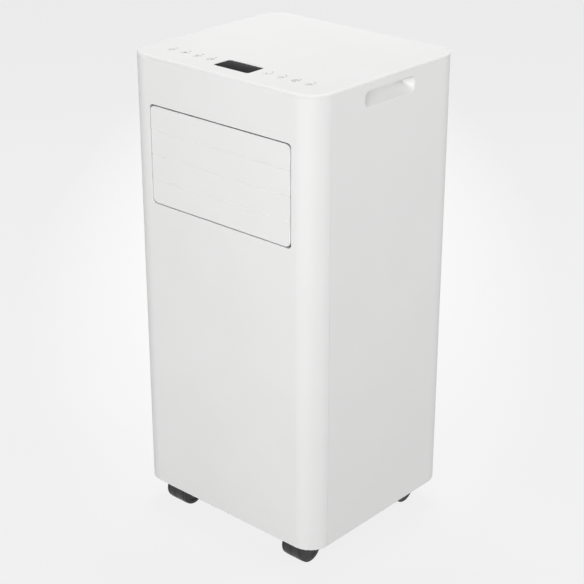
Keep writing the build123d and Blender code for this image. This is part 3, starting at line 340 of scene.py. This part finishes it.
def stroke(path, key_centre):
    """A printed line: the path, in millimetres from the key's middle, is widened to both
    sides along its own normal, and each point is set on the dish and just under it."""
    path = np.asarray(path) * mm
    run = np.gradient(path, axis=0)
    run /= np.linalg.norm(run, axis=1, keepdims=True)
    side = np.stack((-run[:, 1], run[:, 0]), -1) * stroke_width / 2
    plan = np.stack((path - side, path + side, path + side, path - side), 1)
    dish = key_dish * (1 - np.minimum((plan ** 2).sum(-1) / key_dish_radius ** 2, 1))
    lift = np.array((stroke_lift, stroke_lift, -stroke_sink, -stroke_sink))
    points = np.concatenate((plan, (lift - dish)[..., None]), -1) + key_centre
    last = 4 * (len(path) - 1)
    ends = np.array(((0, 1, 2, 3), (last + 3, last + 2, last + 1, last)))
    return points.reshape(-1, 3), np.concatenate((quads(len(path), 4), ends))


sign_strokes = {
    "power": [arc((0, -0.4), 4.0, 125, 415, 36), line((0, 0.4), (0, 4.7))],
    "mode": [
        line((0, -4.5), (0, 4.5)),
        line((-3.9, -2.2), (3.9, 2.2)),
        line((-3.9, 2.2), (3.9, -2.2)),
    ],
    "fan": [
        arc((2.1, 0.5), 2.1, 0, 190, 20),
        arc((-1.5, 1.6), 2.1, 120, 310, 20),
        arc((-0.6, -2.1), 2.1, 240, 430, 20),
    ],
    "timer": [
        arc((0, 0), 4.3, 0, 360, 48),
        line((0, -0.4), (0, 2.9)),
        line((-0.3, 0), (2.2, -1.1)),
    ],
    "down": [line((-3.9, 1.8), (0, -2.2)), line((0, -2.2), (3.9, 1.8))],
    "up": [line((-3.9, -1.8), (0, 2.2)), line((0, 2.2), (3.9, -1.8))],
    "sleep": [arc((0, 0), 4.2, 50, 310, 40), arc((2.6, 0), 3.2, 93, 267, 30)],
    "swing": [
        line((-3.8, -3.0), (-1.2, 3.2)),
        line((-0.6, -3.0), (2.0, 3.2)),
        arc((-1.6, -3.0), 5.6, 5, 42, 16),
    ],
}
sign_grey = moulded_plastic(
    "sign_print", sign_colour, sign_roughness, sign_grain, sign_grain_depth
)
for key_name, paths in sign_strokes.items():
    strokes = [stroke(path, key_centres[key_name]) for path in paths]
    piece(f"{key_name}_sign", strokes, sign_grey, f"{key_name}_key")

# Indicator lamps: a small smoked pill behind each key, flush with the lid, that lights when
# its setting is on. Each is the end of a light guide, moulded and polished.
lamp_dark, lamp_pale = (0.05, 0.05, 0.055), (0.09, 0.09, 0.095)
lamp_polish, lamp_dull = 0.18, 0.3
lamp_haze_size = 1.2 * mm
lamp_setback = 9.6 * mm
lamp_length = 3.4 * mm
lamp_width = 1.3 * mm
lamp_crown = 0.12 * mm
lamp_rings = 6
lamp_end_steps = 14
lid_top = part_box("top_cover")[1].z


def pill(centre, length, width, crown):
    """A shallow pillow on a slot-shaped plan. The rim is two half circles, length - width apart;
    inner rings are the rim shrunk by a share, raised by crown * (1 - share ** 2)."""
    reach = (length - width) / 2
    right = arc((reach, 0), width / 2, -90, 90, lamp_end_steps)
    left = arc((-reach, 0), width / 2, 90, 270, lamp_end_steps)
    rim = np.concatenate((right, left))
    share = np.linspace(0, 1, lamp_rings)[:, None, None]
    plan = share * rim
    height = np.broadcast_to(crown * (1 - share ** 2), plan.shape[:2] + (1,))
    foot = np.concatenate((rim, np.full((len(rim), 1), -crown)), -1)[None]
    points = np.concatenate((np.concatenate((plan, height), -1), foot)) + centre
    return points.reshape(-1, 3), quads(len(points), len(rim))


lamp_smoke, lamp_tree, lamp_shader, lamp_place = node_material("lamp_smoke")
lamp_haze = clouds(lamp_tree, lamp_place, lamp_haze_size, 2)
tint(lamp_tree, lamp_haze, lamp_shader.inputs["Base Color"], lamp_dark, lamp_pale)
vary(lamp_tree, lamp_haze, lamp_shader.inputs["Roughness"], lamp_polish, lamp_dull)
lamps = []
for key_name in key_names:
    key_x, key_y, _ = key_centres[key_name]
    lamp_centre = np.array((key_x, key_y + lamp_setback, lid_top))
    lamps.append(pill(lamp_centre, lamp_length, lamp_width, lamp_crown))
piece("indicator_lamps", lamps, lamp_smoke, "cabinet")

# Louver joints: a thin bead moulded along the top edge of each lower blade fills the slit to
# the blade above, so that the closed louver looks like one panel. It turns with its blade.
bead_rise = 0.48 * mm
bead_root = 0.4 * mm
bead_setback = 0.55 * mm
bead_depth = 1.2 * mm
bead_round = 0.25 * mm
bead_round_steps = 5
bead_half_length = 123.5 * mm


def straight_bar(section, start, end):
    """A closed section carried along X: the section point (depth, height) goes to (x, depth,
    height). At both ends the section shrinks to its middle, which closes it."""
    section = np.asarray(section)
    way = np.array((start, start, end, end))[:, None]
    size = np.array((0, 1, 1, 0))[:, None, None]
    middle = section.mean(0)
    loop = middle + size * (section - middle)
    points = np.concatenate((np.broadcast_to(way, loop.shape[:2])[..., None], loop), -1)
    return points.reshape(-1, 3), quads(4, len(section))


for number in (2, 3, 4):
    blade_low, blade_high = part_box(f"louver_blade_{number}")
    bead_front, bead_top = blade_low.y + bead_setback, blade_high.z + bead_rise
    bead_back, bead_bottom = bead_front + bead_depth, blade_high.z - bead_root
    bead_section = np.concatenate((
        [(bead_front, bead_bottom), (bead_back, bead_bottom)],
        arc((bead_back - bead_round, bead_top - bead_round), bead_round, 0, 90, bead_round_steps),
        arc((bead_front + bead_round, bead_top - bead_round), bead_round, 90, 180, bead_round_steps),
    ))
    bead = straight_bar(bead_section, -bead_half_length, bead_half_length)
    piece(f"louver_bead_{number}", [bead], blade_white, f"louver_{number}")

# Outlet duct, fan housings and hose collar: pale grey moulded plastic, duller than the
# cabinet because their moulds were not polished. The collar shows at the back, so it is paler.
duct_colour = (0.56, 0.56, 0.555)
collar_colour = (0.74, 0.74, 0.735)
duct_grey = moulded_plastic("duct_grey", duct_colour, 0.55, 0.9 * mm, 0.02 * mm)
collar_white = moulded_plastic("collar_white", collar_colour, 0.45, 0.8 * mm, 0.015 * mm)
coat(duct_grey, "outlet_frame", "upper_scroll", "lower_scroll")
coat(collar_white, "exhaust_collar")

# Guide vanes and link bars behind the louver: thin mid-grey mouldings with a dull skin. The
# vanes snap into the duct by their own pins, and the bars snap onto the vanes and blades.
vane_colour = (0.38, 0.38, 0.385)
vane_grey = moulded_plastic("vane_grey", vane_colour, 0.5, 0.8 * mm, 0.015 * mm)
coat(vane_grey, "vane_1", "vane_2", "vane_3", "vane_4", "vane_link", "louver_link")

# Base pan and mid deck: dark grey moulded trays that carry the machine and catch its water.
# They never show, so their coarse mould grain was left as it was.
tray_colour = (0.16, 0.16, 0.165)
tray_grey = moulded_plastic("tray_grey", tray_colour, 0.5, 1.1 * mm, 0.03 * mm)
coat(tray_grey, "base_pan", "mid_deck")

# Fan wheels and slinger: black glass-filled plastic, moulded in one shot and pressed onto the
# motor shafts. The glass leaves a slightly coarse skin.
fan_colour = (0.03, 0.03, 0.032)
fan_black = moulded_plastic("fan_black", fan_colour, 0.45, 1.5 * mm, 0.03 * mm)
coat(fan_black, "upper_fan_wheel", "lower_fan_wheel", "slinger_wheel")

# Filter nets: a frame of dark moulded strip with a plain-woven nylon net across it. Each
# thread dips under and over the ones it crosses. The frame clips into its cover.
net_colour = (0.05, 0.055, 0.065)
net_dark, net_light = 0.7, 1.4
net_polish, net_dull = 0.55, 0.75
fibre_size = 0.8 * mm
net_border = 5.0 * mm
net_pitch = 4.5 * mm
thread_width = 0.9 * mm
thread_thickness = 0.45 * mm
net_bends = 4


def slab(low, high):
    """A block between two corners, as eight points and six quads."""
    corner = np.array(np.meshgrid((0, 1), (0, 1), (0, 1), indexing="ij")).reshape(3, -1).T
    points = np.asarray(low) + corner * (np.asarray(high) - np.asarray(low))
    faces = ((0, 1, 3, 2), (4, 6, 7, 5), (0, 4, 5, 1), (2, 3, 7, 6), (0, 2, 6, 4), (1, 5, 7, 3))
    return points, np.array(faces)


def threads(start, end, low, high, depth, swap):
    """A row of woven threads. Thread k runs from start to end, and its height above the net's
    middle is half a thread times cos(pi * (way / pitch + k)), so neighbours dip in turn."""
    count = int((high - low) / net_pitch)
    place = low + (np.arange(count) + 0.5) * (high - low) / count
    steps = int((end - start) / net_pitch) * net_bends
    way = np.linspace(start, end, steps)
    turn = np.pi * ((way - start) / net_pitch + np.arange(count)[:, None])
    lift = thread_thickness / 2 * np.cos(turn)
    edges = thread_width / 2 * np.array((-1, 1, 1, -1))
    faces = thread_thickness / 2 * np.array((-1, -1, 1, 1))
    across = np.broadcast_to(place[:, None, None] + edges, (count, steps, 4))
    along = np.broadcast_to(way[None, :, None], (count, steps, 4))
    back = depth + (-lift if swap else lift)[..., None] + faces
    order = (across, back, along) if swap else (along, back, across)
    points = np.stack(order, -1)
    return [(thread.reshape(-1, 3), quads(steps, 4)) for thread in points]


net_nylon, net_tree, net_shader, net_place = node_material("net_nylon")
net_fibre = clouds(net_tree, net_place, fibre_size, 3)
net_shades = shaded(net_colour, net_dark), shaded(net_colour, net_light)
tint(net_tree, net_fibre, net_shader.inputs["Base Color"], *net_shades)
vary(net_tree, net_fibre, net_shader.inputs["Roughness"], net_polish, net_dull)
for net_side in ("upper", "lower"):
    net_low, net_high = (np.array(corner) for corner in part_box(f"{net_side}_filter_mesh"))
    inner_low, inner_high = net_low + net_border, net_high - net_border
    net_depth = (net_low[1] + net_high[1]) / 2
    net_parts = [
        slab(net_low, (net_high[0], net_high[1], inner_low[2])),
        slab((net_low[0], net_low[1], inner_high[2]), net_high),
        slab((net_low[0], net_low[1], inner_low[2]), (inner_low[0], net_high[1], inner_high[2])),
        slab((inner_high[0], net_low[1], inner_low[2]), (net_high[0], net_high[1], inner_high[2])),
    ]
    net_parts += threads(inner_low[0], inner_high[0], inner_low[2], inner_high[2], net_depth, False)
    net_parts += threads(inner_low[2], inner_high[2], inner_low[0], inner_high[0], net_depth, True)
    net = piece(f"{net_side}_filter_net", net_parts, net_nylon, f"{net_side}_filter")
    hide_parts(f"{net_side}_filter_mesh")

# Coils: aluminium fins pressed onto copper tube. The fins stand 1.6 mm apart, closer than
# the solid shows, so the finish paints the shade in the gaps between them as thin dark lines across
# the width, and bumps the same lines.
fin_spacing = 1.6 * mm
fin_gap_shade, fin_colour = (0.25, 0.26, 0.27), (0.72, 0.73, 0.74)
fin_relief = 0.3 * mm
fin_stain_size = 20 * mm
wave_period = math.pi / 10
fins, fin_tree, fin_shader, fin_place = node_material("fin_aluminium")
fin_lines = fin_tree.nodes.new("ShaderNodeTexWave")
fin_lines.bands_direction = "X"
fin_lines.inputs["Scale"].default_value = wave_period / fin_spacing
fin_tree.links.new(fin_place, fin_lines.inputs["Vector"])
fin_gap_wave = fin_lines.outputs["Fac"]
# Painted shade: the wave darkens the gaps between the fins to thin dark grey lines.
tint(fin_tree, fin_gap_wave, fin_shader.inputs["Base Color"], fin_gap_shade, fin_colour)
emboss(fin_tree, fin_gap_wave, fin_shader, fin_relief)
fin_stain = clouds(fin_tree, fin_place, fin_stain_size, 3)
vary(fin_tree, fin_stain, fin_shader.inputs["Roughness"], 0.35, 0.5)
fin_shader.inputs["Metallic"].default_value = 1.0
coat(fins, "evaporator_coil", "condenser_coil")


# Motors, control box, capacitor, screws and pipes: plated and galvanised steel, a drawn can
# and copper tube, with streaks along the way the metal was rolled or drawn.
along_x, along_y, along_z = (0.05, 1, 1), (1, 0.05, 1), (1, 1, 0.05)
streak_size = 1.0 * mm
streak_dark, streak_light = 0.88, 1.06
streak_drift = 0.06


def rolled_metal(name, colour, roughness, run):
    """Bare metal: noise stretched along the rolling direction varies tone and gloss."""
    material, tree, shader, place = node_material(name)
    stretch = tree.nodes.new("ShaderNodeMapping")
    stretch.inputs["Scale"].default_value = run
    tree.links.new(place, stretch.inputs["Vector"])
    streak = clouds(tree, stretch.outputs["Vector"], streak_size, 3)
    dark, light = shaded(colour, streak_dark), shaded(colour, streak_light)
    tint(tree, streak, shader.inputs["Base Color"], dark, light)
    smooth, rough = roughness - streak_drift, roughness + streak_drift
    vary(tree, streak, shader.inputs["Roughness"], smooth, rough)
    shader.inputs["Metallic"].default_value = 1.0
    return material


motor_colour = (0.52, 0.53, 0.54)
motor_plating = rolled_metal("motor_plating", motor_colour, 0.35, along_y)
motor_can = rolled_metal("motor_can", motor_colour, 0.35, along_x)
galvanised_box = rolled_metal("galvanised_box", (0.62, 0.63, 0.64), 0.4, along_z)
capacitor_can = rolled_metal("capacitor_can", (0.68, 0.68, 0.69), 0.3, along_z)
screw_plating = rolled_metal("screw_plating", (0.45, 0.45, 0.46), 0.32, along_z)
pipe_copper = rolled_metal("pipe_copper", (0.68, 0.36, 0.22), 0.3, along_z)
coat(motor_plating, "upper_fan_motor", "slinger_motor")
coat(motor_can, "lower_fan_motor", "louver_motor")
coat(galvanised_box, "control_box")
coat(capacitor_can, "run_capacitor")
coat(screw_plating, "cabinet_screws")
coat(pipe_copper, "refrigerant_pipes")

# Compressor: a welded steel shell with its accumulator, sprayed black. The paint dried with
# a light orange-peel skin.
paint_dark, paint_light = (0.012, 0.012, 0.013), (0.02, 0.02, 0.021)
paint_peel_size = 2.5 * mm
paint_peel_depth = 0.03 * mm
shell_paint, paint_tree, paint_shader, paint_place = node_material("compressor_paint")
paint_flow = clouds(paint_tree, paint_place, paint_peel_size, 2)
tint(paint_tree, paint_flow, paint_shader.inputs["Base Color"], paint_dark, paint_light)
vary(paint_tree, paint_flow, paint_shader.inputs["Roughness"], 0.25, 0.35)
emboss(paint_tree, paint_flow, paint_shader, paint_peel_depth)
coat(shell_paint, "compressor")

# Circuit boards: glass-fibre board with etched copper tracks, which show as paler lines round
# darker fields under the green lacquer.
track_spacing = 12 * mm
track_width = 0.05
lacquer_dark, lacquer_light = (0.012, 0.075, 0.035), (0.016, 0.095, 0.045)
track_colour = (0.045, 0.17, 0.08)
lacquer_pool_size = 6 * mm
board_lacquer, board_tree, board_shader, board_place = node_material("board_lacquer")
tracks = board_tree.nodes.new("ShaderNodeTexBrick")
tracks.inputs["Scale"].default_value = 1 / track_spacing
tracks.inputs["Color1"].default_value = (*lacquer_dark, 1)
tracks.inputs["Color2"].default_value = (*lacquer_light, 1)
tracks.inputs["Mortar"].default_value = (*track_colour, 1)
tracks.inputs["Mortar Size"].default_value = track_width
board_tree.links.new(board_place, tracks.inputs["Vector"])
board_tree.links.new(tracks.outputs["Color"], board_shader.inputs["Base Color"])
lacquer_pool = clouds(board_tree, board_place, lacquer_pool_size, 2)
vary(board_tree, lacquer_pool, board_shader.inputs["Roughness"], 0.25, 0.35)
coat(board_lacquer, "display_board", "control_board")

# Rubber parts: compressor feet, drain plugs and the cord gland, moulded in black rubber
# with a soft dusty bloom. They are pushed into their holes and hold by their own lips.
rubber_dark, rubber_bloom = (0.018, 0.018, 0.018), (0.035, 0.035, 0.034)
bloom_size = 7 * mm
rubber_grain = 0.6 * mm
rubber_grain_depth = 0.02 * mm
soft_rubber, rubber_tree, rubber_shader, rubber_place = node_material("soft_rubber")
bloom = clouds(rubber_tree, rubber_place, bloom_size, 4)
tint(rubber_tree, bloom, rubber_shader.inputs["Base Color"], rubber_dark, rubber_bloom)
vary(rubber_tree, bloom, rubber_shader.inputs["Roughness"], 0.6, 0.8)
rubber_skin = clouds(rubber_tree, rubber_place, rubber_grain, 2)
emboss(rubber_tree, rubber_skin, rubber_shader, rubber_grain_depth)
coat(soft_rubber, "compressor_feet", "pan_drain_plug", "deck_drain_plug", "cord_gland")

# Caster forks: black moulded brackets. The web that holds the axle carries on round between
# the two wheels as a fender, open at the floor, so that no dirt is drawn in between them.
corners = ("front_left", "front_right", "rear_left", "rear_right")
fork_colour = (0.03, 0.03, 0.031)
caster_roughness = 0.42
caster_grain = 0.8 * mm
caster_grain_depth = 0.02 * mm
fender_half = 1.75 * mm
fender_inner = 8.0 * mm
fender_outer = 20.8 * mm
fender_round = 0.2 * mm
fender_round_steps = 5
fender_start, fender_end = -50, 230
fender_steps = 72


def swept(section, centre, start, end, steps):
    """A closed section carried round the axle from one angle to another in degrees: the section
    point (across, out) goes to centre + (across, out * cos(angle), out * sin(angle)). At both
    ends the section shrinks to its middle, which closes it."""
    section = np.asarray(section)
    angle = np.radians(np.concatenate(([start], np.linspace(start, end, steps), [end])))[:, None]
    size = np.ones((steps + 2, 1, 1))
    size[[0, -1]] = 0
    middle = section.mean(0)
    loop = middle + size * (section - middle)
    points = np.stack((loop[..., 0], loop[..., 1] * np.cos(angle), loop[..., 1] * np.sin(angle)), -1)
    return (points + centre).reshape(-1, 3), quads(steps + 2, len(section))


fender_section = np.concatenate((
    [(-fender_half, fender_inner), (fender_half, fender_inner)],
    arc((fender_half - fender_round, fender_outer - fender_round),
        fender_round, 0, 90, fender_round_steps),
    arc((fender_round - fender_half, fender_outer - fender_round),
        fender_round, 90, 180, fender_round_steps),
))
fork_black = moulded_plastic(
    "fork_black", fork_colour, caster_roughness, caster_grain, caster_grain_depth
)
coat(fork_black, *[f"caster_fork_{corner}" for corner in corners])
for corner in corners:
    wheels_low, wheels_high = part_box(f"caster_wheels_{corner}")
    hub = np.array((wheels_low + wheels_high) / 2)
    fender = swept(fender_section, hub, fender_start, fender_end, fender_steps)
    piece(f"{corner}_fender", [fender], fork_black, f"{corner}_fork")

# Caster wheels: a pair of dark grey nylon wheels on one axle. Each has a plain tread, then a
# sharp groove and a side disc pressed into it, dished round a small domed hub cap.
wheel_colour = (0.033, 0.033, 0.034)
wheel_radius = 21.0 * mm
wheel_gap = 2.0 * mm
wheel_width = 16.5 * mm
tread_width = 12.6 * mm
tread_edge = 0.9 * mm
inner_edge = 0.3 * mm
groove_width = 0.8 * mm
groove_depth = 2.4 * mm
disc_radius = 20.6 * mm
disc_round = 1.2 * mm
dish_radius = 14.0 * mm
dish_depth = 1.3 * mm
cap_radius = 6.0 * mm
cap_rise = 1.0 * mm
axle_radius = 3.0 * mm
axle_steps = 24
wheel_steps = 96
cap_rings = 8


def wheel_profile():
    """Half section of a wheel from its inner face outwards, as (along the axle, radius). The
    hub cap is a half ellipse: cap_rise * sqrt(1 - (radius / cap_radius) ** 2) over the dish."""
    inside = arc((inner_edge, wheel_radius - inner_edge), inner_edge, 180, 90, 4)
    outside = arc((tread_width - tread_edge, wheel_radius - tread_edge), tread_edge, 90, 0, 6)
    groove_end = tread_width + groove_width
    groove_floor = wheel_radius - groove_depth
    groove = [(tread_width, groove_floor), (groove_end, groove_floor), (groove_end, disc_radius)]
    disc = arc((wheel_width - disc_round, disc_radius - disc_round), disc_round, 90, 0, 8)
    dish_floor = wheel_width - dish_depth
    dish_rim = dish_radius + dish_depth
    dish = [(wheel_width, dish_rim), (dish_floor, dish_radius), (dish_floor, cap_radius)]
    out = np.linspace(cap_radius, 0, cap_rings)
    cap = np.stack((dish_floor + cap_rise * (1 - (out / cap_radius) ** 2) ** 0.5, out), -1)
    return np.concatenate(([(0, 0)], inside, outside, groove, disc, dish, cap))


wheel_grey = moulded_plastic(
    "wheel_grey", wheel_colour, caster_roughness, caster_grain, caster_grain_depth
)
for corner in corners:
    wheels_low, wheels_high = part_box(f"caster_wheels_{corner}")
    hub = np.array((wheels_low + wheels_high) / 2)
    side_step = np.array((wheel_gap, 0, 0))
    axle_end = wheel_gap + tread_edge
    axle = [(-axle_end, 0), (-axle_end, axle_radius), (axle_end, axle_radius), (axle_end, 0)]
    wheel_parts = [
        turned(wheel_profile(), hub + side_step, (1, 0, 0), wheel_steps),
        turned(wheel_profile(), hub - side_step, (-1, 0, 0), wheel_steps),
        turned(axle, hub, (1, 0, 0), axle_steps),
    ]
    wheels = piece(
        f"{corner}_wheel_pair", wheel_parts, wheel_grey, f"{corner}_wheels", 30
    )
    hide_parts(f"caster_wheels_{corner}")

# Studio floor: a pale seamless sheet. Seen directly it shows a painted pool of light, nearly white
# round the middle of the picture and a little greyer outwards, and it keeps a soft shadow of the
# object.
floor_reach = 14.0
floor_thickness = 0.01
floor_roughness = 0.9
floor_colour = (0.30, 0.30, 0.30)
pale_colour = (0.86, 0.86, 0.86)
glow_colour = (1.0, 1.0, 1.0)
edge_colour = (0.885, 0.885, 0.885)
glow_centre = (-0.75, 0.84, 0.0)
glow_turn = math.radians(41.3)
glow_across = 0.54
glow_along = 1.45
glow_core = 0.45
shadow_share = 0.1
floor_low = (-floor_reach, -floor_reach, -floor_thickness)
floor_points, floor_faces = slab(floor_low, (floor_reach, floor_reach, 0))
floor_mesh = bpy.data.meshes.new("studio_floor")
floor_mesh.from_pydata(floor_points.tolist(), [], floor_faces.tolist())
floor = bpy.data.objects.new("studio_floor", floor_mesh)
scene.collection.objects.link(floor)
sheet, sheet_tree, sheet_shader, sheet_place = node_material("studio_sheet")
sheet_shader.inputs["Base Color"].default_value = (*floor_colour, 1)
sheet_shader.inputs["Roughness"].default_value = floor_roughness
sheet_shader.inputs["Specular IOR Level"].default_value = 0.0
# Painted light: seen directly, the floor glows as a pool of light, white round glow_centre and
# greying towards edge_colour further out.
spot = sheet_tree.nodes.new("ShaderNodeMapping")
spot.vector_type = "TEXTURE"
spot.inputs["Location"].default_value = glow_centre
spot.inputs["Rotation"].default_value = (0, 0, glow_turn)
spot.inputs["Scale"].default_value = (glow_across, glow_along, 1)
sheet_tree.links.new(sheet_place, spot.inputs["Vector"])
reach = sheet_tree.nodes.new("ShaderNodeVectorMath")
reach.operation = "LENGTH"
sheet_tree.links.new(spot.outputs["Vector"], reach.inputs[0])
fade = sheet_tree.nodes.new("ShaderNodeMapRange")
fade.inputs["From Min"].default_value = glow_core
sheet_tree.links.new(reach.outputs["Value"], fade.inputs["Value"])
glow = sheet_tree.nodes.new("ShaderNodeMix")
glow.data_type = "RGBA"
glow.inputs["A"].default_value = (*glow_colour, 1)
glow.inputs["B"].default_value = (*edge_colour, 1)
sheet_tree.links.new(fade.outputs["Result"], glow.inputs["Factor"])
painted_glow_light = sheet_tree.nodes.new("ShaderNodeEmission")
sheet_tree.links.new(glow.outputs["Result"], painted_glow_light.inputs["Color"])
seen = sheet_tree.nodes.new("ShaderNodeMixShader")
seen.inputs["Fac"].default_value = shadow_share
sheet_tree.links.new(painted_glow_light.outputs["Emission"], seen.inputs[1])
pale = sheet_tree.nodes.new("ShaderNodeBsdfDiffuse")
pale.inputs["Color"].default_value = (*pale_colour, 1)
sheet_tree.links.new(pale.outputs["BSDF"], seen.inputs[2])


def seen_rays(tree):
    """1 for a ray that shows the background: one from the camera, or one that reached the
    surface by a reflection or through glass; 0 for a ray that only carries light."""
    path = tree.nodes.new("ShaderNodeLightPath")
    either = tree.nodes.new("ShaderNodeMath")
    either.operation = "MAXIMUM"
    tree.links.new(path.outputs["Is Camera Ray"], either.inputs[0])
    tree.links.new(path.outputs["Is Glossy Ray"], either.inputs[1])
    any_of = tree.nodes.new("ShaderNodeMath")
    any_of.operation = "MAXIMUM"
    tree.links.new(either.outputs["Value"], any_of.inputs[0])
    tree.links.new(path.outputs["Is Transmission Ray"], any_of.inputs[1])
    return any_of.outputs["Value"]


choice = sheet_tree.nodes.new("ShaderNodeMixShader")
sheet_tree.links.new(seen_rays(sheet_tree), choice.inputs["Fac"])
sheet_tree.links.new(sheet_shader.outputs["BSDF"], choice.inputs[1])
sheet_tree.links.new(seen.outputs["Shader"], choice.inputs[2])
sheet_output = sheet_tree.nodes["Material Output"]
sheet_tree.links.new(choice.outputs["Shader"], sheet_output.inputs["Surface"])
floor_mesh.materials.append(sheet)

# Studio light: an even pale room and four broad soft lamps: the strongest ahead to the
# right, one ahead to the left, one behind and one above. Past the floor, the room is as
# pale as the floor's edge.
room_light = 0.25
room_colour = (0.83, 0.83, 0.83)
room = bpy.data.worlds.new("studio_room")
scene.world = room
room.use_nodes = True
room_tree = room.node_tree
room_wall = room_tree.nodes["Background"]
room_wall.inputs["Color"].default_value = (1, 1, 1, 1)
room_wall.inputs["Strength"].default_value = room_light
room_seen = room_tree.nodes.new("ShaderNodeBackground")
room_seen.inputs["Color"].default_value = (*room_colour, 1)
room_choice = room_tree.nodes.new("ShaderNodeMixShader")
room_tree.links.new(seen_rays(room_tree), room_choice.inputs["Fac"])
room_tree.links.new(room_wall.outputs["Background"], room_choice.inputs[1])
room_tree.links.new(room_seen.outputs["Background"], room_choice.inputs[2])
room_output = room_tree.nodes["World Output"]
room_tree.links.new(room_choice.outputs["Shader"], room_output.inputs["Surface"])


def soft_lamp(name, turn, rise, distance, width, power):
    """A square lamp aimed at the middle of the object, turned from the front towards the
    right and raised above that middle by angles in degrees."""
    lamp = bpy.data.lights.new(name, "AREA")
    lamp.shape = "SQUARE"
    lamp.size = width
    lamp.energy = power
    holder = bpy.data.objects.new(name, lamp)
    holder.rotation_euler = (math.radians(90 - rise), 0, math.radians(turn))
    holder.location = (
        distance * math.sin(math.radians(turn)) * math.cos(math.radians(rise)),
        -distance * math.cos(math.radians(turn)) * math.cos(math.radians(rise)),
        cad_high.z / 2 + distance * math.sin(math.radians(rise)),
    )
    scene.collection.objects.link(holder)


soft_lamp("left_lamp", turn=-25, rise=12, distance=3.2, width=1.6, power=12)
soft_lamp("right_lamp", turn=30, rise=18, distance=3.2, width=1.6, power=70)
soft_lamp("back_lamp", turn=130, rise=13, distance=3.2, width=1.6, power=37)
soft_lamp("top_lamp", turn=-140, rise=65, distance=2.4, width=1.2, power=30)

# Camera: ahead of the right front corner and above, looking down on the lid, with a long
# lens as in the photograph.
camera_place = (1.3349, -1.4954, 1.2360)
camera_turn = math.radians(41.81)
camera_fall = math.radians(24.16)
camera_lens = 95.61
camera = bpy.data.cameras.new("photo_camera")
camera.lens = camera_lens
camera_holder = bpy.data.objects.new("photo_camera", camera)
camera_holder.location = camera_place
camera_holder.rotation_euler = (math.pi / 2 - camera_fall, 0, camera_turn)
scene.collection.objects.link(camera_holder)
scene.camera = camera_holder
scene.view_settings.view_transform = "Standard"
